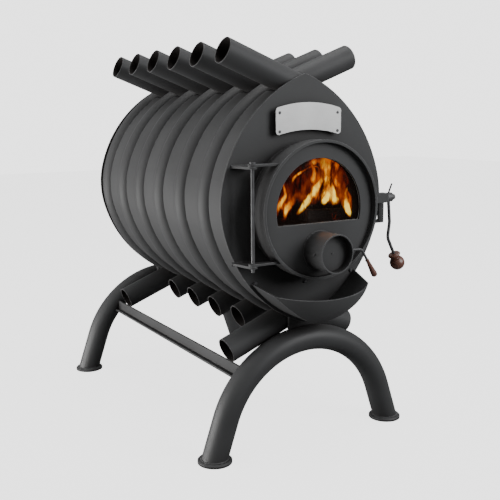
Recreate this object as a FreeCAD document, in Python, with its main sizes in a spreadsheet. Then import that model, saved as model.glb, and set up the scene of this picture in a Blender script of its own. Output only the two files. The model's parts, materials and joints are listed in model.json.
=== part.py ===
import FreeCAD, Part
import math
import os
from types import SimpleNamespace

import Sketcher

Vector = FreeCAD.Vector
Rotation = FreeCAD.Rotation
Placement = FreeCAD.Placement

# Workshop stove: a tubular convection stove. Bent air tubes wrap a round firebox from both sides and
# cross at the top and the bottom. The door swings on a pin at its left. Millimetres, front towards -Y.
doc = FreeCAD.newDocument("WorkshopStove")

# Driving dimensions: alias, value, meaning.
DIMENSIONS = [
    ("axis_height", 582.0, "firebox axis above the floor"),
    ("tube_od", 60.3, "air tube outside diameter"),
    ("tube_wall", 3.0, "air tube wall"),
    ("tube_gap", 0.7, "gap between crossing tubes, and to the end plates"),
    ("tube_count", 6.0, "air tubes on each side"),
    ("wrap_drop", 3.0, "middle of the wrap below the firebox axis"),
    ("flank_radius", 198.0, "tube centreline radius at the flank"),
    ("shoulder_radius", 313.1, "tube centreline radius at the shoulders"),
    ("shoulder_angle", 15.0, "angle above the level where the shoulder starts"),
    ("end_slope", 21.0, "slope of the straight tube ends"),
    ("end_reach", 194.0, "tube ends from the middle plane, top and long bottom ends"),
    ("short_reach", 92.0, "short bottom tube ends from the middle plane"),
    ("plate_thick", 5.0, "front and rear plate"),
    ("plate_margin", 26.0, "plate edge outside the tube centreline"),
    ("strip_outer", 18.0, "jacket strip outer face outside the tube centreline"),
    ("strip_thick", 4.0, "jacket strip thickness"),
    ("strip_end", 62.0, "jacket strip ends from the middle plane"),
    ("seat_gap", 0.3, "assembly clearance between neighbouring pieces"),
    ("run_gap", 0.05, "radial running clearance of pins"),
    ("door_drop", 17.0, "door centre below the firebox axis"),
    ("collar_wall", 5.0, "door collar wall"),
    ("collar_length", 30.0, "door collar in front of the front plate"),
    ("seal_thick", 3.7, "rope seal between collar and door"),
    ("seal_width", 12.0, "rope seal width"),
    ("ring_radius", 157.7, "door ring outside radius"),
    ("ring_overhang", 9.7, "door ring beyond the collar"),
    ("ring_wall", 6.0, "door ring wall"),
    ("ring_depth", 37.4, "door ring depth"),
    ("flange_thick", 4.0, "rear flange of the door ring"),
    ("flange_width", 20.0, "rear flange width"),
    ("panel_recess", 13.0, "door panel behind the rim"),
    ("panel_thick", 4.0, "door panel"),
    ("window_margin", 40.7, "door ring beyond the window arch"),
    ("sill_margin", 18.05, "door panel between the window sill and the air inlet"),
    ("glass_margin", 8.0, "glass beyond the window"),
    ("glass_thick", 4.0, "window glass"),
    ("gasket_thick", 2.0, "glass gasket"),
    ("retainer_margin", 16.0, "glass retainer beyond the window"),
    ("retainer_thick", 2.0, "glass retainer"),
    ("screw_radius", 2.5, "retainer screws"),
    ("screw_low_angle", 12.0, "angle of the lower retainer screws above the level"),
    ("screw_high_angle", 62.0, "angle of the upper retainer screws above the level"),
    ("screw_head", 4.5, "retainer screw head radius"),
    ("screw_head_thick", 2.5, "retainer screw head"),
    ("inlet_radius", 44.45, "air inlet tube outside radius"),
    ("inlet_wall", 3.0, "air inlet tube wall"),
    ("inlet_margin", 15.25, "door panel between the air inlet and the ring"),
    ("inlet_reach", 66.6, "air inlet in front of the door panel"),
    ("spindle_radius", 3.0, "throttle spindle and lever rod"),
    ("spindle_inset", 25.0, "throttle spindle behind the inlet mouth"),
    ("disc_thick", 2.5, "throttle disc"),
    ("disc_gap", 0.7, "throttle disc to the tube wall"),
    ("disc_rivet_radius", 2.6, "rivet in the throttle disc"),
    ("disc_rivet_thick", 1.3, "rivet head in front of the disc"),
    ("lever_straight", 43.55, "lever bend outside the air inlet"),
    ("lever_length", 30.0, "lever rod below its bend"),
    ("lever_angle", 58.0, "lever rod below the level"),
    ("lever_bend", 14.0, "lever rod bend radius"),
    ("grip_length", 50.0, "throttle grip"),
    ("grip_top", 4.4, "throttle grip radius at the rod"),
    ("grip_end", 7.0, "throttle grip radius at the end"),
    ("pin_radius", 4.0, "hinge pin"),
    ("pin_head", 7.0, "hinge pin head radius"),
    ("pin_head_thick", 4.0, "hinge pin head"),
    ("pin_tail", 9.0, "hinge pin below the lower bracket"),
    ("hinge_clear", 17.3, "hinge pin outside the door ring"),
    ("hinge_stand", 53.0, "hinge pin in front of the front plate"),
    ("hinge_upper", 87.0, "top of the upper hinge bracket above the axis"),
    ("hinge_lower", 128.5, "top of the lower hinge bracket below the axis"),
    ("hinge_thick", 5.0, "hinge brackets and door arms"),
    ("hinge_width", 20.0, "hinge bracket and door arm width"),
    ("bracket_spread", 44.0, "hinge bracket width on the front plate"),
    ("latch_stand", 60.0, "latch spindle in front of the front plate"),
    ("latch_clear", 42.3, "latch hub outside the door ring"),
    ("latch_pin_radius", 5.0, "latch spindle"),
    ("latch_hub_radius", 11.0, "latch hub"),
    ("latch_hub_length", 16.0, "latch hub"),
    ("latch_stub_radius", 6.5, "latch spindle end"),
    ("latch_stub_length", 9.0, "latch spindle end"),
    ("latch_bracket_width", 22.0, "latch bracket on the door"),
    ("cam_thick", 8.0, "latch cam"),
    ("cam_radius", 7.0, "latch cam nose"),
    ("cam_gap", 0.5, "latch cam to the keeper"),
    ("tommy_radius", 2.0, "pin through the latch hub"),
    ("tommy_length", 26.0, "pin above the latch hub"),
    ("tommy_lean", 25.0, "pin leans towards the front"),
    ("tommy_inset", 4.0, "pin from the door side of the latch hub"),
    ("keeper_stand", 36.0, "latch keeper face in front of the front plate"),
    ("keeper_width", 16.0, "latch keeper strip"),
    ("keeper_thick", 5.0, "latch keeper strip"),
    ("keeper_top", 7.0, "latch keeper above the axis"),
    ("keeper_height", 71.0, "latch keeper"),
    ("keeper_bar", 22.0, "latch keeper foot bar length"),
    ("crank_radius", 3.8, "latch crank rod"),
    ("crank_bend", 26.0, "latch crank bend radius"),
    ("crank_knee_out", 6.0, "latch crank first knee outwards"),
    ("crank_knee_drop", 60.0, "latch crank first knee below the hub"),
    ("crank_waist_out", 1.0, "latch crank second knee outwards"),
    ("crank_waist_drop", 98.0, "latch crank second knee below the hub"),
    ("crank_end_out", 22.0, "latch crank end outwards"),
    ("crank_end_drop", 139.0, "latch crank end below the hub"),
    ("knob_radius", 18.0, "latch knob ball"),
    ("knob_flange_radius", 15.0, "latch knob flange"),
    ("knob_flange_thick", 7.0, "latch knob flange"),
    ("knob_neck_radius", 9.5, "latch knob neck"),
    ("knob_neck_length", 6.0, "latch knob neck"),
    ("lip_drop", 180.0, "ash lip rim below the axis, at the front plate"),
    ("lip_half_width", 165.0, "ash lip half width"),
    ("lip_depth", 130.0, "ash lip in front of the front plate"),
    ("lip_height", 114.0, "ash lip height at the front plate"),
    ("lip_wall", 3.0, "ash lip wall"),
    ("lip_edge", 7.0, "plate edge left bare outside the ash lip"),
    ("lip_tilt", 14.0, "ash lip rim falls towards the front"),
    ("lip_bolt_radius", 5.0, "ash lip bolt head"),
    ("lip_bolt_thick", 4.0, "ash lip bolt head"),
    ("lip_bolt_spread", 137.0, "ash lip side bolts from the middle plane"),
    ("lip_bolt_drop", 12.0, "ash lip middle bolt below the rim"),
    ("lip_side_bolt_drop", 1.0, "ash lip side bolts below the rim"),
    ("badge_half_width", 90.0, "name plate half width"),
    ("badge_height", 61.0, "name plate height"),
    ("badge_base", 149.0, "name plate lower corners above the axis"),
    ("badge_rise", 13.0, "name plate arch"),
    ("badge_thick", 1.5, "name plate"),
    ("badge_stand", 13.5, "name plate spacers"),
    ("badge_corner", 8.0, "name plate corner radius"),
    ("rivet_inset", 10.0, "name plate rivets from the edges"),
    ("rivet_radius", 1.8, "name plate rivet shank"),
    ("rivet_head", 3.3, "name plate rivet head and spacer"),
    ("rivet_head_thick", 1.2, "name plate rivet head"),
    ("leg_od", 60.3, "leg tube outside diameter"),
    ("leg_wall", 3.0, "leg tube wall"),
    ("front_arch_drop", 329.0, "top of the front arch centreline below the axis"),
    ("rear_arch_drop", 304.0, "top of the rear arch centreline below the axis"),
    ("leg_splay", 19.0, "legs lean outwards"),
    ("arch_lead", 7.0, "front arch in front of the front face"),
    ("front_arch_radius", 235.0, "front arch centreline radius"),
    ("rear_arch_radius", 255.0, "rear arch centreline radius"),
    ("foot_radius", 40.0, "foot pad"),
    ("foot_thick", 8.0, "foot pad"),
    ("foot_rim", 3.0, "foot pad edge chamfer"),
    ("bar_offset", 178.0, "side bars from the middle plane"),
    ("bar_drop", 386.0, "side bars below the axis"),
    ("bar_depth", 30.0, "side bar section height"),
    ("bar_thick", 5.0, "side bar wall"),
    ("bar_flange", 16.0, "side bar lower flange, outwards"),
    ("saddle_width", 90.0, "saddle between arch and end plate"),
    ("saddle_reach", 8.0, "rear saddle behind the rear plate"),
    ("flue_radius", 75.0, "flue spigot outside radius"),
    ("flue_wall", 3.0, "flue spigot wall"),
    ("flue_rise", 90.0, "flue spigot above the axis"),
    ("flue_length", 160.0, "flue spigot length"),
    ("flue_bead_place", 105.0, "stop bead from the rear plate"),
    ("flue_bead_width", 6.0, "stop bead"),
    ("flue_bead_rise", 4.0, "stop bead height"),
    ("damper_place", 78.0, "damper spindle from the rear plate"),
    ("damper_radius", 70.0, "damper flap"),
    ("damper_thick", 3.0, "damper flap"),
    ("damper_pin_radius", 5.0, "damper spindle"),
    ("damper_handle_length", 70.0, "damper handle"),
    ("damper_handle_lead", 52.0, "damper handle in front of its spindle"),
    ("damper_handle_radius", 6.0, "damper handle"),
    ("baffle_height", 118.0, "baffle plate above the axis"),
    ("baffle_half_width", 108.0, "baffle plate half width"),
    ("baffle_length", 555.0, "baffle plate length"),
    ("baffle_thick", 6.0, "baffle plate"),
    ("ledge_width", 20.0, "baffle ledge"),
    ("ledge_thick", 6.0, "baffle ledge"),
    ("ledge_overlap", 10.0, "baffle plate on its ledge"),
]

# Sizes that follow from others: alias, formula, meaning.
FORMULAS = [
    ("collar_radius", "=ring_radius - ring_overhang", "door collar outside radius"),
    ("window_radius", "=ring_radius - window_margin", "window arch"),
    ("inlet_drop", "=ring_radius - ring_wall - inlet_margin - inlet_radius", "air inlet below the door centre"),
    ("window_sill", "=inlet_drop - inlet_radius - sill_margin", "window sill below the door centre"),
    ("hinge_offset", "=ring_radius + hinge_clear", "hinge pin left of the middle plane"),
    ("latch_offset", "=ring_radius + latch_clear", "latch hub right of the middle plane"),
    ("lever_knee_place", "=inlet_radius + lever_straight", "lever bend from the middle plane"),
    ("front_leg_apex", "=axis_height - front_arch_drop", "top of the front arch centreline above the floor"),
    ("rear_leg_apex", "=axis_height - rear_arch_drop", "top of the rear arch centreline above the floor"),
    ("bar_height", "=axis_height - bar_drop", "side bars above the floor"),
]

sheet = doc.addObject("Spreadsheet::Sheet", "Sizes")
for row, (alias, content, meaning) in enumerate(DIMENSIONS + FORMULAS, start=1):
    sheet.set(f"A{row}", meaning)
    sheet.setAlias(f"B{row}", alias)
    sheet.set(f"B{row}", str(content))
doc.recompute()
d = SimpleNamespace(**{alias: float(sheet.get(alias)) for alias, _, _ in DIMENSIONS + FORMULAS})

# Places that follow from the driving dimensions, from the front face of the front plate.
tube_radius = d.tube_od / 2
count = int(d.tube_count)
half_pitch = d.tube_od + d.tube_gap
pitch = 2 * half_pitch
first_tube = d.plate_thick + d.tube_gap + tube_radius
last_tube = first_tube + (2 * count - 1) * half_pitch
rear_plate_front = last_tube + tube_radius + d.tube_gap
rear_face = rear_plate_front + d.plate_thick
rim_face = -(d.collar_length + d.seat_gap + d.seal_thick + d.ring_depth)
panel_face = rim_face + d.panel_recess
panel_back = panel_face + d.panel_thick
inlet_mouth = panel_face - d.inlet_reach
lip_fall = d.lip_depth * math.tan(math.radians(d.lip_tilt)) / d.lip_height
lip_reach = d.lip_depth / math.sqrt(1 + lip_fall ** 2)
front_reach = max(lip_reach, -inlet_mouth)
rear_reach = rear_face + d.flue_length
datum = -(rear_reach - front_reach) / 2
TO_BACK = Rotation(Vector(1, 0, 0), -90)
TO_RIGHT = Rotation(Vector(0, 1, 0), 90)
UP = Rotation()

made = []


def spot(x, y, z):
    """Point at x, behind the front face by y, above the firebox axis by z."""
    return Vector(x, datum + y, d.axis_height + z)


def place(thing, base, turn=UP):
    """Put an object at a base point with a rotation."""
    thing.Placement = Placement(base, turn)
    return thing


def keep(thing, label):
    """Name a finished sub-part and list it for export."""
    thing.Label = label
    made.append(thing)
    return thing


def bound(kind, name, sizes):
    """Make a primitive whose sizes are bound to the sheet."""
    thing = doc.addObject(kind, name)
    for prop, expression in sizes.items():
        thing.setExpression(prop, expression)
    return thing


def rod(name, radius, length, base, turn=UP):
    """Cylinder from a base point along the rotated Z axis."""
    return place(bound("Part::Cylinder", name, {"Radius": radius, "Height": length}), base, turn)


def block(name, length, width, height, base):
    """Box from its lowest corner."""
    return place(bound("Part::Box", name, {"Length": length, "Width": width, "Height": height}), base)


def cut(name, base, *tools):
    """Take every tool away from the base."""
    result = base
    for index, tool in enumerate(tools):
        step = doc.addObject("Part::Cut", f"{name}_cut{index}")
        step.Base = result
        step.Tool = tool
        result = step
    return result


def fuse(name, *pieces):
    """Weld several shapes into one solid."""
    weld = doc.addObject("Part::MultiFuse", f"{name}_weld")
    weld.Shapes = list(pieces)
    weld.Refine = True
    return weld


def group(name, pieces):
    """Several separate solids in one node."""
    bundle = doc.addObject("Part::Compound", f"{name}_group")
    bundle.Links = list(pieces)
    return bundle


def pipe(name, radius, bore, edges, start, turn):
    """Round bar, or a tube when a bore is given, along tangent edges, square to them at the start."""
    path = doc.addObject("Part::Feature", f"{name}_path")
    path.Shape = Part.Wire(edges)
    names = [f"Edge{index + 1}" for index in range(len(edges))]
    sweeps = []
    for part_name, expression in (("outer", radius), ("inner", bore)):
        if expression is None:
            continue
        section = bound("Part::Circle", f"{name}_{part_name}_section", {"Radius": expression})
        place(section, start, turn)
        sweep = doc.addObject("Part::Sweep", f"{name}_{part_name}")
        sweep.Sections = [section]
        sweep.Spine = (path, names)
        sweep.Solid = True
        sweep.Frenet = False
        sweeps.append(sweep)
    return cut(name, *sweeps)


def rounded_route(points, bend):
    """Straight runs joined by tangent arcs of one radius, as edges."""
    edges = []
    at = points[0]
    for before, corner, after in zip(points, points[1:], points[2:]):
        back = (before - corner).normalize()
        onward = (after - corner).normalize()
        half = back.getAngle(onward) / 2
        leg = bend / math.tan(half)
        middle = (back + onward).normalize() * (bend / math.sin(half) - bend)
        edges.append(Part.LineSegment(at, corner + back * leg).toShape())
        arc = Part.Arc(corner + back * leg, corner + middle, corner + onward * leg)
        edges.append(arc.toShape())
        at = corner + onward * leg
    edges.append(Part.LineSegment(at, points[-1]).toShape())
    return edges


def padded_sketch(name, label, geometry, thick, base, holes=()):
    """Flat plate: a sketch in the XZ plane, padded towards the back, with round holes."""
    body = doc.addObject("PartDesign::Body", name)
    plane = [f for f in body.Origin.OriginFeatures if f.Role == "XZ_Plane"][0]
    sketch = body.newObject("Sketcher::SketchObject", f"{name}_outline")
    sketch.AttachmentSupport = (plane, [""])
    sketch.MapMode = "FlatFace"
    sketch.addGeometry(geometry, False)
    for x, z, radius in holes:
        hole = sketch.addGeometry(Part.Circle(Vector(x, z, 0), Vector(0, 0, 1), d.plate_thick), False)
        constraint = sketch.addConstraint(Sketcher.Constraint("Radius", hole, d.plate_thick))
        sketch.setExpression(f"Constraints[{constraint}]", radius)
    pad = body.newObject("PartDesign::Pad", f"{name}_pad")
    pad.Profile = sketch
    pad.Reversed = True
    pad.setExpression("Length", thick)
    body.Placement = Placement(base, UP)
    return keep(body, label)


# Outline of the wrap: flank arc, shoulder arcs and straight ends, as points on the offset curve.
turn_angle = math.radians(d.shoulder_angle)
slope = math.radians(d.end_slope)
shoulder_x = (d.flank_radius - d.shoulder_radius) * math.cos(turn_angle)
shoulder_z = (d.flank_radius - d.shoulder_radius) * math.sin(turn_angle)


def flank_point(offset, angle):
    """Point on the flank arc at an angle above the level."""
    radius = d.flank_radius + offset
    return radius * math.cos(angle), radius * math.sin(angle)


def shoulder_point(offset, angle):
    """Point on the upper right shoulder arc at an angle above the level."""
    radius = d.shoulder_radius + offset
    return shoulder_x + radius * math.cos(angle), shoulder_z + radius * math.sin(angle)


def shoulder_angle_at(offset, x):
    """Angle on the upper right shoulder arc where it passes x."""
    return math.acos((x - shoulder_x) / (d.shoulder_radius + offset))


def tube_end(reach):
    """Middle of a tube's open end."""
    x, z = shoulder_point(0, math.pi / 2 - slope)
    return -reach, z + (x + reach) * math.tan(slope)


def wrap_edges(side, y, upper, lower):
    """Centreline of one air tube on a side, from its upper end to its lower end."""
    last = math.pi / 2 - slope
    middle = (turn_angle + last) / 2
    knots = [tube_end(upper), shoulder_point(0, last), shoulder_point(0, middle)]
    knots += [flank_point(0, turn_angle), flank_point(0, 0.0)]
    low_end = tube_end(lower)
    low = [(x, -z) for x, z in (knots[3], knots[2], knots[1], low_end)]
    points = [spot(side * x, y, z - d.wrap_drop) for x, z in knots + low]
    edges = [Part.LineSegment(points[0], points[1]).toShape()]
    for index in (1, 3, 5):
        edges.append(Part.Arc(points[index], points[index + 1], points[index + 2]).toShape())
    edges.append(Part.LineSegment(points[7], points[8]).toShape())
    return edges, points[0]


def air_tube(side, label, y, lower):
    """One bent air tube with open ends."""
    edges, start = wrap_edges(side, y, d.end_reach, lower)
    name = label.title().replace("_", "")
    turn = Rotation(Vector(0, 1, 0), side * (90 + d.end_slope))
    tube = pipe(name, "Sizes.tube_od / 2", "Sizes.tube_od / 2 - Sizes.tube_wall", edges, start, turn)
    keep(tube, label)


for step in range(count):
    outermost = step in (0, count - 1)
    right_y = first_tube + step * pitch
    air_tube(1, f"right_air_tube_{step + 1}", right_y, d.end_reach if outermost else d.short_reach)
    left_y = right_y + half_pitch
    air_tube(-1, f"left_air_tube_{step + 1}", left_y, d.end_reach if step == 0 else d.short_reach)


def teardrop(offset):
    """Outline of an end plate: flank and shoulder arcs that meet in a tip at top and bottom."""
    tip = shoulder_angle_at(offset, 0.0)
    middle = (turn_angle + tip) / 2
    knots = [shoulder_point(offset, tip), shoulder_point(offset, middle), flank_point(offset, turn_angle)]
    knots += [flank_point(offset, 0.0)]
    right = knots + [(x, -z) for x, z in knots[2::-1]]
    outline = []
    for mirror in (1, -1):
        points = [Vector(mirror * x, z, 0) for x, z in right]
        for index in (0, 2, 4):
            outline.append(Part.Arc(points[index], points[index + 1], points[index + 2]))
    return outline


front_hole = (0, d.wrap_drop - d.door_drop, "Sizes.collar_radius - Sizes.collar_wall")
flue_hole = (0, d.wrap_drop + d.flue_rise, "Sizes.flue_radius - Sizes.flue_wall")
end_outline = teardrop(d.plate_margin)
padded_sketch("FrontPlate", "front_plate", end_outline, "Sizes.plate_thick", spot(0, 0, -d.wrap_drop),
              [front_hole])
padded_sketch("RearPlate", "rear_plate", end_outline, "Sizes.plate_thick",
              spot(0, rear_plate_front, -d.wrap_drop), [flue_hole])


# Jacket strips: curved bands that close the flank between neighbouring tubes of one side.
def strip_edges(side, offset):
    """One long edge of a strip, from its upper to its lower end."""
    top = shoulder_angle_at(offset, d.strip_end)
    middle = (turn_angle + top) / 2
    knots = [shoulder_point(offset, top), shoulder_point(offset, middle), flank_point(offset, turn_angle)]
    knots += [flank_point(offset, 0.0)]
    knots += [(x, -z) for x, z in knots[2::-1]]
    points = [spot(side * x, 0, z - d.wrap_drop) for x, z in knots]
    edges = [Part.Arc(*points[index:index + 3]).toShape() for index in (0, 2, 4)]
    return edges, points[0], points[-1]


strip_inner = d.strip_outer - d.strip_thick
strip_cover = math.sqrt(tube_radius ** 2 - strip_inner ** 2)


def jacket(side, label, places):
    """The strips of one side, as separate solids."""
    outer, outer_top, outer_end = strip_edges(side, d.strip_outer)
    inner, inner_top, inner_end = strip_edges(side, strip_inner)
    ends = [Part.LineSegment(outer_end, inner_end).toShape(), Part.LineSegment(inner_top, outer_top).toShape()]
    face = doc.addObject("Part::Feature", f"{label}_section")
    face.Shape = Part.Face(Part.Wire(outer + ends[:1] + inner[::-1] + ends[1:]))
    strips = []
    for index, (start, stop) in enumerate(places):
        strip = doc.addObject("Part::Extrusion", f"{label}_{index + 1}")
        strip.Base = face
        strip.DirMode = "Custom"
        strip.Dir = Vector(0, 1, 0)
        strip.LengthFwd = stop - start
        strip.Solid = True
        strip.Placement = Placement(Vector(0, start, 0), UP)
        strips.append(strip)
    keep(group(label, strips), label)


def strip_places(first, lead, tail):
    """Front and back of each strip between tubes that start at first, with the end plates as stops."""
    reach = strip_cover + d.seat_gap
    edges = [lead + d.seat_gap - reach] + [first + index * pitch for index in range(count)]
    edges.append(tail - d.seat_gap + reach)
    return [(a + reach, b - reach) for a, b in zip(edges, edges[1:]) if b - a > 2 * reach + d.strip_thick]


jacket(-1, "left_jacket_strips", strip_places(first_tube + half_pitch, d.plate_thick, rear_plate_front))
jacket(1, "right_jacket_strips", strip_places(first_tube, d.plate_thick, rear_plate_front))


# Door seat.
def ring(name, outer, inner, length, base):
    """Round ring along the firebox axis."""
    whole = rod(f"{name}_outside", outer, length, base, TO_BACK)
    bore = rod(f"{name}_inside", inner, length, base, TO_BACK)
    return cut(name, whole, bore)


door_centre = -d.door_drop
collar = ring("DoorCollar", "Sizes.collar_radius", "Sizes.collar_radius - Sizes.collar_wall",
              "Sizes.collar_length", spot(0, -d.collar_length, door_centre))
keep(collar, "door_collar")

# Door: ring with a rear flange, rope seal, recessed panel, window.
flange_back = -(d.collar_length + d.seat_gap + d.seal_thick)
wall_ring = ring("DoorWall", "Sizes.ring_radius", "Sizes.ring_radius - Sizes.ring_wall", "Sizes.ring_depth",
                 spot(0, rim_face, door_centre))
rear_flange = ring("DoorFlange", "Sizes.ring_radius", "Sizes.ring_radius - Sizes.flange_width",
                   "Sizes.flange_thick", spot(0, flange_back - d.flange_thick, door_centre))
keep(fuse("DoorRing", wall_ring, rear_flange), "door_ring")
seal_outer = "(Sizes.collar_radius - Sizes.collar_wall / 2 + Sizes.seal_width / 2)"
seal = ring("DoorSeal", seal_outer, f"{seal_outer} - Sizes.seal_width", "Sizes.seal_thick",
            spot(0, flange_back, door_centre))
keep(seal, "door_rope_seal")


def arch_outline(margin):
    """Round-headed window outline with a level sill, about the door centre."""
    radius = d.window_radius + margin
    sill = -d.window_sill - margin
    half = math.sqrt(radius ** 2 - sill ** 2)
    arc = Part.Arc(Vector(half, sill, 0), Vector(0, radius, 0), Vector(-half, sill, 0))
    return [arc, Part.LineSegment(Vector(-half, sill, 0), Vector(half, sill, 0))]


inlet_centre = -d.inlet_drop
disc_outline = [Part.Circle(Vector(0, 0, 0), Vector(0, 0, 1), d.ring_radius - d.ring_wall)]
padded_sketch("DoorPanel", "door_panel", disc_outline + arch_outline(0), "Sizes.panel_thick",
              spot(0, panel_face, door_centre), [(0, inlet_centre, "Sizes.inlet_radius")])
padded_sketch("GlassGasket", "glass_gasket", arch_outline(d.glass_margin) + arch_outline(0),
              "Sizes.gasket_thick", spot(0, panel_back, door_centre))
glass_front = panel_back + d.gasket_thick
padded_sketch("WindowGlass", "window_glass", arch_outline(d.glass_margin), "Sizes.glass_thick",
              spot(0, glass_front, door_centre))
retainer_front = glass_front + d.glass_thick
screw_circle = d.window_radius + (d.glass_margin + d.retainer_margin) / 2
screw_spots = []
for side in (1, -1):
    for degrees in (d.screw_low_angle, d.screw_high_angle):
        angle = math.radians(degrees)
        screw_spots.append((side * screw_circle * math.cos(angle), screw_circle * math.sin(angle)))
screw_holes = [(x, z, "Sizes.screw_radius") for x, z in screw_spots]
padded_sketch("GlassRetainer", "glass_retainer", arch_outline(d.retainer_margin) + arch_outline(0),
              "Sizes.retainer_thick", spot(0, retainer_front, door_centre), screw_holes)
screws = []
for index, (x, z) in enumerate(screw_spots):
    shank = rod(f"Screw{index}_shank", "Sizes.screw_radius",
                "Sizes.gasket_thick + Sizes.glass_thick + Sizes.retainer_thick",
                spot(x, panel_back, door_centre + z), TO_BACK)
    head = rod(f"Screw{index}_head", "Sizes.screw_head", "Sizes.screw_head_thick",
               spot(x, retainer_front + d.retainer_thick, door_centre + z), TO_BACK)
    screws.append(fuse(f"Screw{index}", shank, head))
keep(group("RetainerScrews", screws), "retainer_screws")

# Air inlet with its throttle.
inlet_z = door_centre + inlet_centre
spindle_y = inlet_mouth + d.spindle_inset
spindle_end = d.inlet_radius + d.inlet_wall
tube_wall_ring = ring("InletTube", "Sizes.inlet_radius", "Sizes.inlet_radius - Sizes.inlet_wall",
                      "Sizes.inlet_reach + Sizes.panel_thick", spot(0, inlet_mouth, inlet_z))
spindle_bore = rod("SpindleBore", "Sizes.spindle_radius + Sizes.run_gap",
                   "2 * (Sizes.inlet_radius + Sizes.inlet_wall)", spot(-spindle_end, spindle_y, inlet_z), TO_RIGHT)
keep(cut("AirInlet", tube_wall_ring, spindle_bore), "air_inlet_tube")
disc_front = spindle_y - d.spindle_radius - d.disc_thick
disc_sheet = rod("DiscSheet", "Sizes.inlet_radius - Sizes.inlet_wall - Sizes.disc_gap", "Sizes.disc_thick",
                 spot(0, disc_front, inlet_z), TO_BACK)
disc_rivet = rod("DiscRivet", "Sizes.disc_rivet_radius", "Sizes.disc_rivet_thick",
                 spot(0, disc_front - d.disc_rivet_thick, inlet_z), TO_BACK)
keep(fuse("ThrottleDisc", disc_sheet, disc_rivet), "throttle_disc")
lever_turn = math.radians(d.lever_angle)
lever_step = Vector(math.cos(lever_turn), 0, -math.sin(lever_turn))
lever_knee = spot(d.lever_knee_place, spindle_y, inlet_z)
lever_end = lever_knee + lever_step * d.lever_length
lever_start = spot(-spindle_end, spindle_y, inlet_z)
lever_edges = rounded_route([lever_start, lever_knee, lever_end], d.lever_bend)
lever = pipe("ThrottleLever", "Sizes.spindle_radius", None, lever_edges, lever_start, TO_RIGHT)
keep(lever, "throttle_lever")
lever_tilt = Rotation(Vector(0, 1, 0), 90 + d.lever_angle)
grip = place(bound("Part::Cone", "ThrottleGrip", {"Radius1": "Sizes.grip_top", "Radius2": "Sizes.grip_end",
                                                  "Height": "Sizes.grip_length"}), lever_end, lever_tilt)
keep(grip, "throttle_grip")

# Hinge: fixed brackets on the front plate, arms on the door, one loose pin through all four.
hinge_x = -d.hinge_offset
hinge_y = -d.hinge_stand


def fixed_bracket(name, label, top):
    """Flat bracket from the front plate to the pin, wide at the plate."""
    low = top - d.hinge_thick
    outline = [spot(hinge_x - d.bracket_spread / 2, 0, low), spot(hinge_x - d.hinge_width / 2, hinge_y, low),
               spot(hinge_x, hinge_y - d.hinge_width / 2, low), spot(hinge_x + d.hinge_width / 2, hinge_y, low),
               spot(hinge_x + d.bracket_spread / 2, 0, low)]
    edges = [Part.LineSegment(outline[0], outline[1]).toShape(), Part.Arc(*outline[1:4]).toShape(),
             Part.LineSegment(outline[3], outline[4]).toShape(),
             Part.LineSegment(outline[4], outline[0]).toShape()]
    section = doc.addObject("Part::Feature", f"{name}_section")
    section.Shape = Part.Face(Part.Wire(edges))
    leaf = doc.addObject("Part::Extrusion", f"{name}_leaf")
    leaf.Base = section
    leaf.DirMode = "Custom"
    leaf.Dir = Vector(0, 0, 1)
    leaf.setExpression("LengthFwd", "Sizes.hinge_thick")
    leaf.Solid = True
    hole = rod(f"{name}_hole", "Sizes.pin_radius", "Sizes.hinge_thick", spot(hinge_x, hinge_y, low))
    keep(cut(name, leaf, hole), label)


def door_arm(name, label, low):
    """Flat arm from the pin to the door ring."""
    eye = rod(f"{name}_eye", "Sizes.hinge_width / 2", "Sizes.hinge_thick", spot(hinge_x, hinge_y, low))
    leaf = block(f"{name}_leaf", "Sizes.hinge_offset", "Sizes.hinge_width", "Sizes.hinge_thick",
                 spot(hinge_x, hinge_y - d.hinge_width / 2, low))
    door_space = rod(f"{name}_door", "Sizes.ring_radius", "Sizes.hinge_stand + Sizes.hinge_width",
                     spot(0, -d.hinge_stand - d.hinge_width, door_centre), TO_BACK)
    hole = rod(f"{name}_hole", "Sizes.pin_radius + Sizes.run_gap", "Sizes.hinge_thick",
               spot(hinge_x, hinge_y, low))
    keep(cut(name, fuse(name, eye, leaf), door_space, hole), label)


fixed_bracket("UpperBracket", "upper_hinge_bracket", d.hinge_upper)
fixed_bracket("LowerBracket", "lower_hinge_bracket", -d.hinge_lower)
upper_arm_low = d.hinge_upper + d.seat_gap
lower_arm_low = -d.hinge_lower + d.seat_gap
door_arm("UpperArm", "upper_door_arm", upper_arm_low)
door_arm("LowerArm", "lower_door_arm", lower_arm_low)
pin_low = -d.hinge_lower - d.hinge_thick - d.pin_tail
pin_length = "Sizes.hinge_upper + Sizes.hinge_lower + 2 * Sizes.hinge_thick + Sizes.pin_tail + 2 * Sizes.seat_gap"
pin_shaft = rod("HingeShaft", "Sizes.pin_radius", pin_length, spot(hinge_x, hinge_y, pin_low))
pin_cap = rod("HingeCap", "Sizes.pin_head", "Sizes.pin_head_thick",
              spot(hinge_x, hinge_y, upper_arm_low + d.hinge_thick + d.seat_gap))
keep(fuse("HingePin", pin_shaft, pin_cap), "hinge_pin")

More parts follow.
